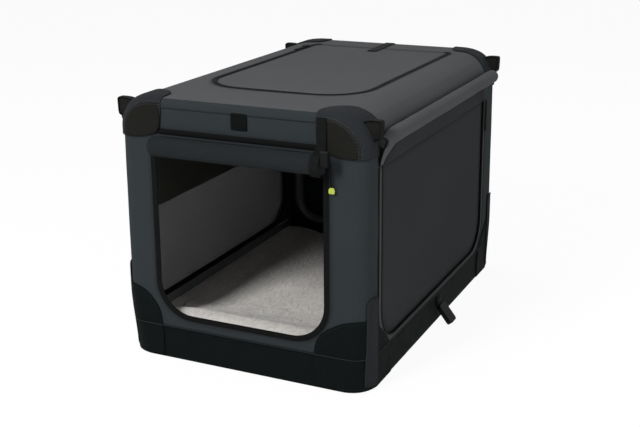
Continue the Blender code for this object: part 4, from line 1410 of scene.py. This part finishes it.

# %% [markdown]
# ## Dark panel inside the left window
# Seen through the doorway, the upper half of the left window is dark and the lower half lets the light
# in. A dark panel put inside the upper half gives that darkness, and it moves with the window panel.

# %% Dark inner panel
# A dark sheet inside the left window, from 0.218 m to 0.334 m, put where the window looks dark
DARK_PANEL_OUTLINE = rounded(-0.2290, 0.2270, 0.2180, 0.3340, (0.004,) * 4, (30, 12), 4)
shade, area = panel("left_inner_dark_panel", DARK_PANEL_OUTLINE, on_left, dark_panel_cloth, 0.0008, 10, out=-0.0052, slack=0.0006)
sewn(shade, 0.456, 0.116, area)
door_goods("left_door", shade)

# %% [markdown]
# ## Mat
# The mat is a thin quilt faced with fleece. Its form is crowned, its sides pull in at the seam round
# its edge, and the pile breaks up the surface. The drawn form is filled out as a cloth with air inside,
# which no point may follow for more than 2.2 mm.

# %% Filling a cover with air
SOAK_FRAMES = 20


def fill_out(piece, cell, pressure, most, flats):
    """Let the piece fill out as cloth under inner pressure, moving each point by no more than `most`."""
    grid = piece.modifiers.new("cells", "REMESH")
    grid.mode = "VOXEL"
    grid.voxel_size = cell
    deps = bpy.context.evaluated_depsgraph_get()
    start = bpy.data.meshes.new_from_object(piece.evaluated_get(deps))
    piece.modifiers.clear()
    piece.data = start
    cloth = piece.modifiers.new("cover", "CLOTH")
    cloth.point_cache.frame_start = 1
    cloth.point_cache.frame_end = SOAK_FRAMES
    cloth.settings.quality = 4
    cloth.settings.mass = 0.2
    cloth.settings.tension_stiffness = 20.0
    cloth.settings.compression_stiffness = 20.0
    cloth.settings.bending_stiffness = 0.6
    cloth.settings.shrink_min = -0.015
    cloth.settings.use_pressure = True
    cloth.settings.uniform_pressure_force = pressure
    cloth.settings.effector_weights.gravity = 0.0
    for moment in range(1, SOAK_FRAMES + 1):
        bpy.context.scene.frame_set(moment)
    deps = bpy.context.evaluated_depsgraph_get()
    filled = bpy.data.meshes.new_from_object(piece.evaluated_get(deps))
    piece.modifiers.clear()
    moved = 0.0
    for before, after in zip(start.vertices, filled.vertices):
        step = after.co - before.co
        if step.length > most:
            step = step.normalized() * most
        place = before.co + step
        place.z = min(max(place.z, flats[0]), flats[1])
        moved = max(moved, (place - before.co).length)
        before.co = place
    bpy.context.scene.frame_set(1)
    finer = piece.modifiers.new("finer", "SUBSURF")
    finer.levels = 1
    deps = bpy.context.evaluated_depsgraph_get()
    done = bpy.data.meshes.new_from_object(piece.evaluated_get(deps))
    piece.modifiers.clear()
    piece.data = done
    piece.data.polygons.foreach_set("use_smooth", [True] * len(done.polygons))
    print(piece.name, "filled out by", round(moved, 4), "faces", len(done.polygons))


# %% Mat form
low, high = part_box("mat")
mat_x, mat_y = high[0] - 0.002, high[1] - 0.002
mat_low, mat_high = low[2], high[2]
mat_ring = rounded(-mat_x, mat_x, -mat_y, mat_y, (0.030,) * 4, (40, 56), 8)
seam_level = mat_low + 0.42 * (mat_high - mat_low)
levels = [(0.90, mat_low), (0.965, mat_low + 0.0006), (0.99, mat_low + 0.005), (1.0, seam_level - 0.0016)]
levels += [(0.988, seam_level), (1.0, seam_level + 0.0016), (0.992, mat_high - 0.0105)]
levels += [(0.975, mat_high - 0.0052), (0.945, mat_high - 0.0028)]
rows = []
for size, z in levels:
    rows.append([Vector((x * size, y * size, z)) for x, y in mat_ring])
for k in range(1, 16):
    share = 1 - k / 16
    row = []
    for x, y in mat_ring:
        px, py = x * 0.945 * share, y * 0.945 * share
        crown = (mat_high - 0.0006) - 0.0024 * share ** 3
        soft = wrinkle(Vector((px, py, 0)), 0.045, 0.0016 * (1 - share ** 6), 8.0)
        soft += wrinkle(Vector((px, py, 0)), 0.009, 0.0004, 9.0)
        row.append(Vector((px, py, min(crown + soft - 0.0010, mat_high))))
    rows.append(row)
mat = skin("fleece_mat", rows, fleece, True, True, True)
fill_out(mat, 0.0055, 4.0, 0.0022, (mat_low, mat_high))
face_out(mat, Vector((0, 0, mat_low + 0.012)))
stands_for(mat, "mat")
edge_frames = []
for x, y in mat_ring:
    outward = Vector((x / mat_x, y / mat_y, 0)).normalized()
    edge_frames.append((Vector((x * 0.994, y * 0.994, seam_level)), outward, Vector((0, 0, 1))))
mat_cord = sweep("mat_edge_cord", edge_frames, round_profile(0.0016), fleece, True)
print("mat", [round(v, 3) for v in low], [round(v, 3) for v in high])

# %% [markdown]
# The fleece goes on past the mat: an apron rises over the bar in front to the sill, and a border lies
# along each long side. Both are loose cloth with a soft, uneven lie.

# %% Fleece apron and borders
PILE = 0.0022


def pile(x, y, coarse, seed, mirror=1):
    broad = wrinkle(Vector((x * mirror, y, 0)), 0.03, coarse, seed)
    return max(broad + wrinkle(Vector((x, y, 0)), 0.008, 0.0004, seed + 1.0), -0.0006)


APRON = [(-0.1150, mat_high - 0.0062), (-0.1500, mat_high - 0.0004), (-0.1850, 0.0424), (-0.2250, 0.0530)]
APRON += [(-0.2540, 0.0664), (-0.2700, 0.0712), (-0.2920, 0.0718), (-0.3066, 0.0700)]
rows = []
for y, z in spaced(curved(APRON, 2, False), 0.003):
    row = []
    for k in range(61):
        half = 0.150 + 0.020 * ease((y + 0.245) / 0.05)
        x = half * (k / 30 - 1)
        tuck = 0.005 * abs(x / half) ** 8 * ease((-0.19 - y) / 0.03)
        row.append(Vector((x, y, z - tuck + pile(x, y, 0.0012, 31.0))))
    rows.append(row)
apron, area = open_sheet("fleece_apron", rows, fleece, PILE)
print("apron area", round(area, 4))
BORDER = [(0.1300, mat_high - 0.0062), (0.1580, mat_high - 0.0002), (0.1780, 0.0408), (0.1920, 0.0402)]
BORDER += [(0.2005, 0.0390)]
borders = []
for side, sx, place in SIDES:
    rows = []
    for x, z in spaced(curved(BORDER, 2, False), 0.0030):
        row = []
        for k in range(91):
            y = -0.2500 + 0.5000 * k / 90
            row.append(Vector((sx * x, y, z + pile(x, y, 0.0010, 35.0, sx))))
        rows.append(row)
    border, area = open_sheet(side + "_fleece_border", rows, fleece, PILE)
    # The cloth of a border is really about 0.500 x 0.072 m: the flat size is that of a narrower one.
    min(area, 0.029)
    borders.append(border)
carried("base", mat, mat_cord, apron, *borders)

# %% [markdown]
# ## Lining
# Inside, a strip of grey lining covers the band's seam on both long sides, just above the mat.

# %% Lining strips
lining_cloth = woven("lining cloth", (0.150, 0.158, 0.160), mottle=0.15)
for side, sx, place in SIDES:
    line = rounded(-0.2560, 0.2560, 0.0360, 0.0560, (0.002,) * 4, (40, 4), 3)
    strip, area = panel(
        side + "_lining", line, place, lining_cloth, 0.0008, 4, out=-0.0042, slack=0.0003, seed=41.0
    )
    sewn(strip, 0.512, 0.0200, area)
    carried("base", strip)

# %% [markdown]
# ## Floor and light
# A white floor under a white sky. Camera, mirror and glass rays see plain white, and the cloth is lit
# by a softer, dimmer sky and three large lamps, so that a colour renders about as it is written.

# %% White world and floor
bpy.context.scene.view_settings.view_transform = "Standard"
world = bpy.data.worlds.new("studio")
bpy.context.scene.world = world
world.use_nodes = True
studio = Nodes(world.node_tree)
white = (1.0, 1.0, 1.0, 1.0)
sky = studio.node("ShaderNodeBackground", {}, {"Color": white, "Strength": 0.45})
plain = studio.node("ShaderNodeBackground", {}, {"Color": white, "Strength": 1.0})
seen = studio.node("ShaderNodeMixShader", {}, {0: studio.seen_by_eye(), 1: sky, 2: plain})
studio.tree.links.new(seen.socket, studio.tree.nodes["World Output"].inputs["Surface"])

floor_finish = Finish("studio floor", (0.85, 0.85, 0.85), 0.9, Specular_IOR_Level=0.0)
glow = floor_finish.node("ShaderNodeEmission", {}, {"Color": white, "Strength": 1.0})
lit = Wire(floor_finish, floor_finish.shader.outputs[0])
seen = floor_finish.node("ShaderNodeMixShader", {}, {0: floor_finish.seen_by_eye() * 0.93, 1: lit, 2: glow})
floor_finish.tree.links.new(seen.socket, floor_finish.tree.nodes["Material Output"].inputs["Surface"])
bm = bmesh.new()
bmesh.ops.create_grid(bm, x_segments=2, y_segments=2, size=12.0)
studio_floor = made_piece("studio_floor", bm, floor_finish.material)
studio_floor.location = (0.0, 0.0, -0.0005)


# %% Lamps
def softbox(name, place, aim, width, height, power):
    lamp = bpy.data.lights.new(name, "AREA")
    lamp.shape = "RECTANGLE"
    lamp.size = width
    lamp.size_y = height
    lamp.energy = power
    box = bpy.data.objects.new(name, lamp)
    box.location = place
    box.rotation_euler = (Vector(aim) - Vector(place)).to_track_quat("-Z", "Y").to_euler()
    bpy.context.scene.collection.objects.link(box)
    return box


softbox("key_lamp", (-0.44, -2.05, 1.62), (0.0, -0.15, 0.12), 0.50, 0.80, 58.0)
softbox("side_lamp", (2.30, -0.60, 1.15), (0.2, 0.0, 0.20), 1.4, 1.4, 24.0)
softbox("roof_lamp", (-0.6, 0.6, 2.3), (0.0, 0.0, 0.4), 1.4, 1.4, 13.0)
print("lamps", len(bpy.data.lights))
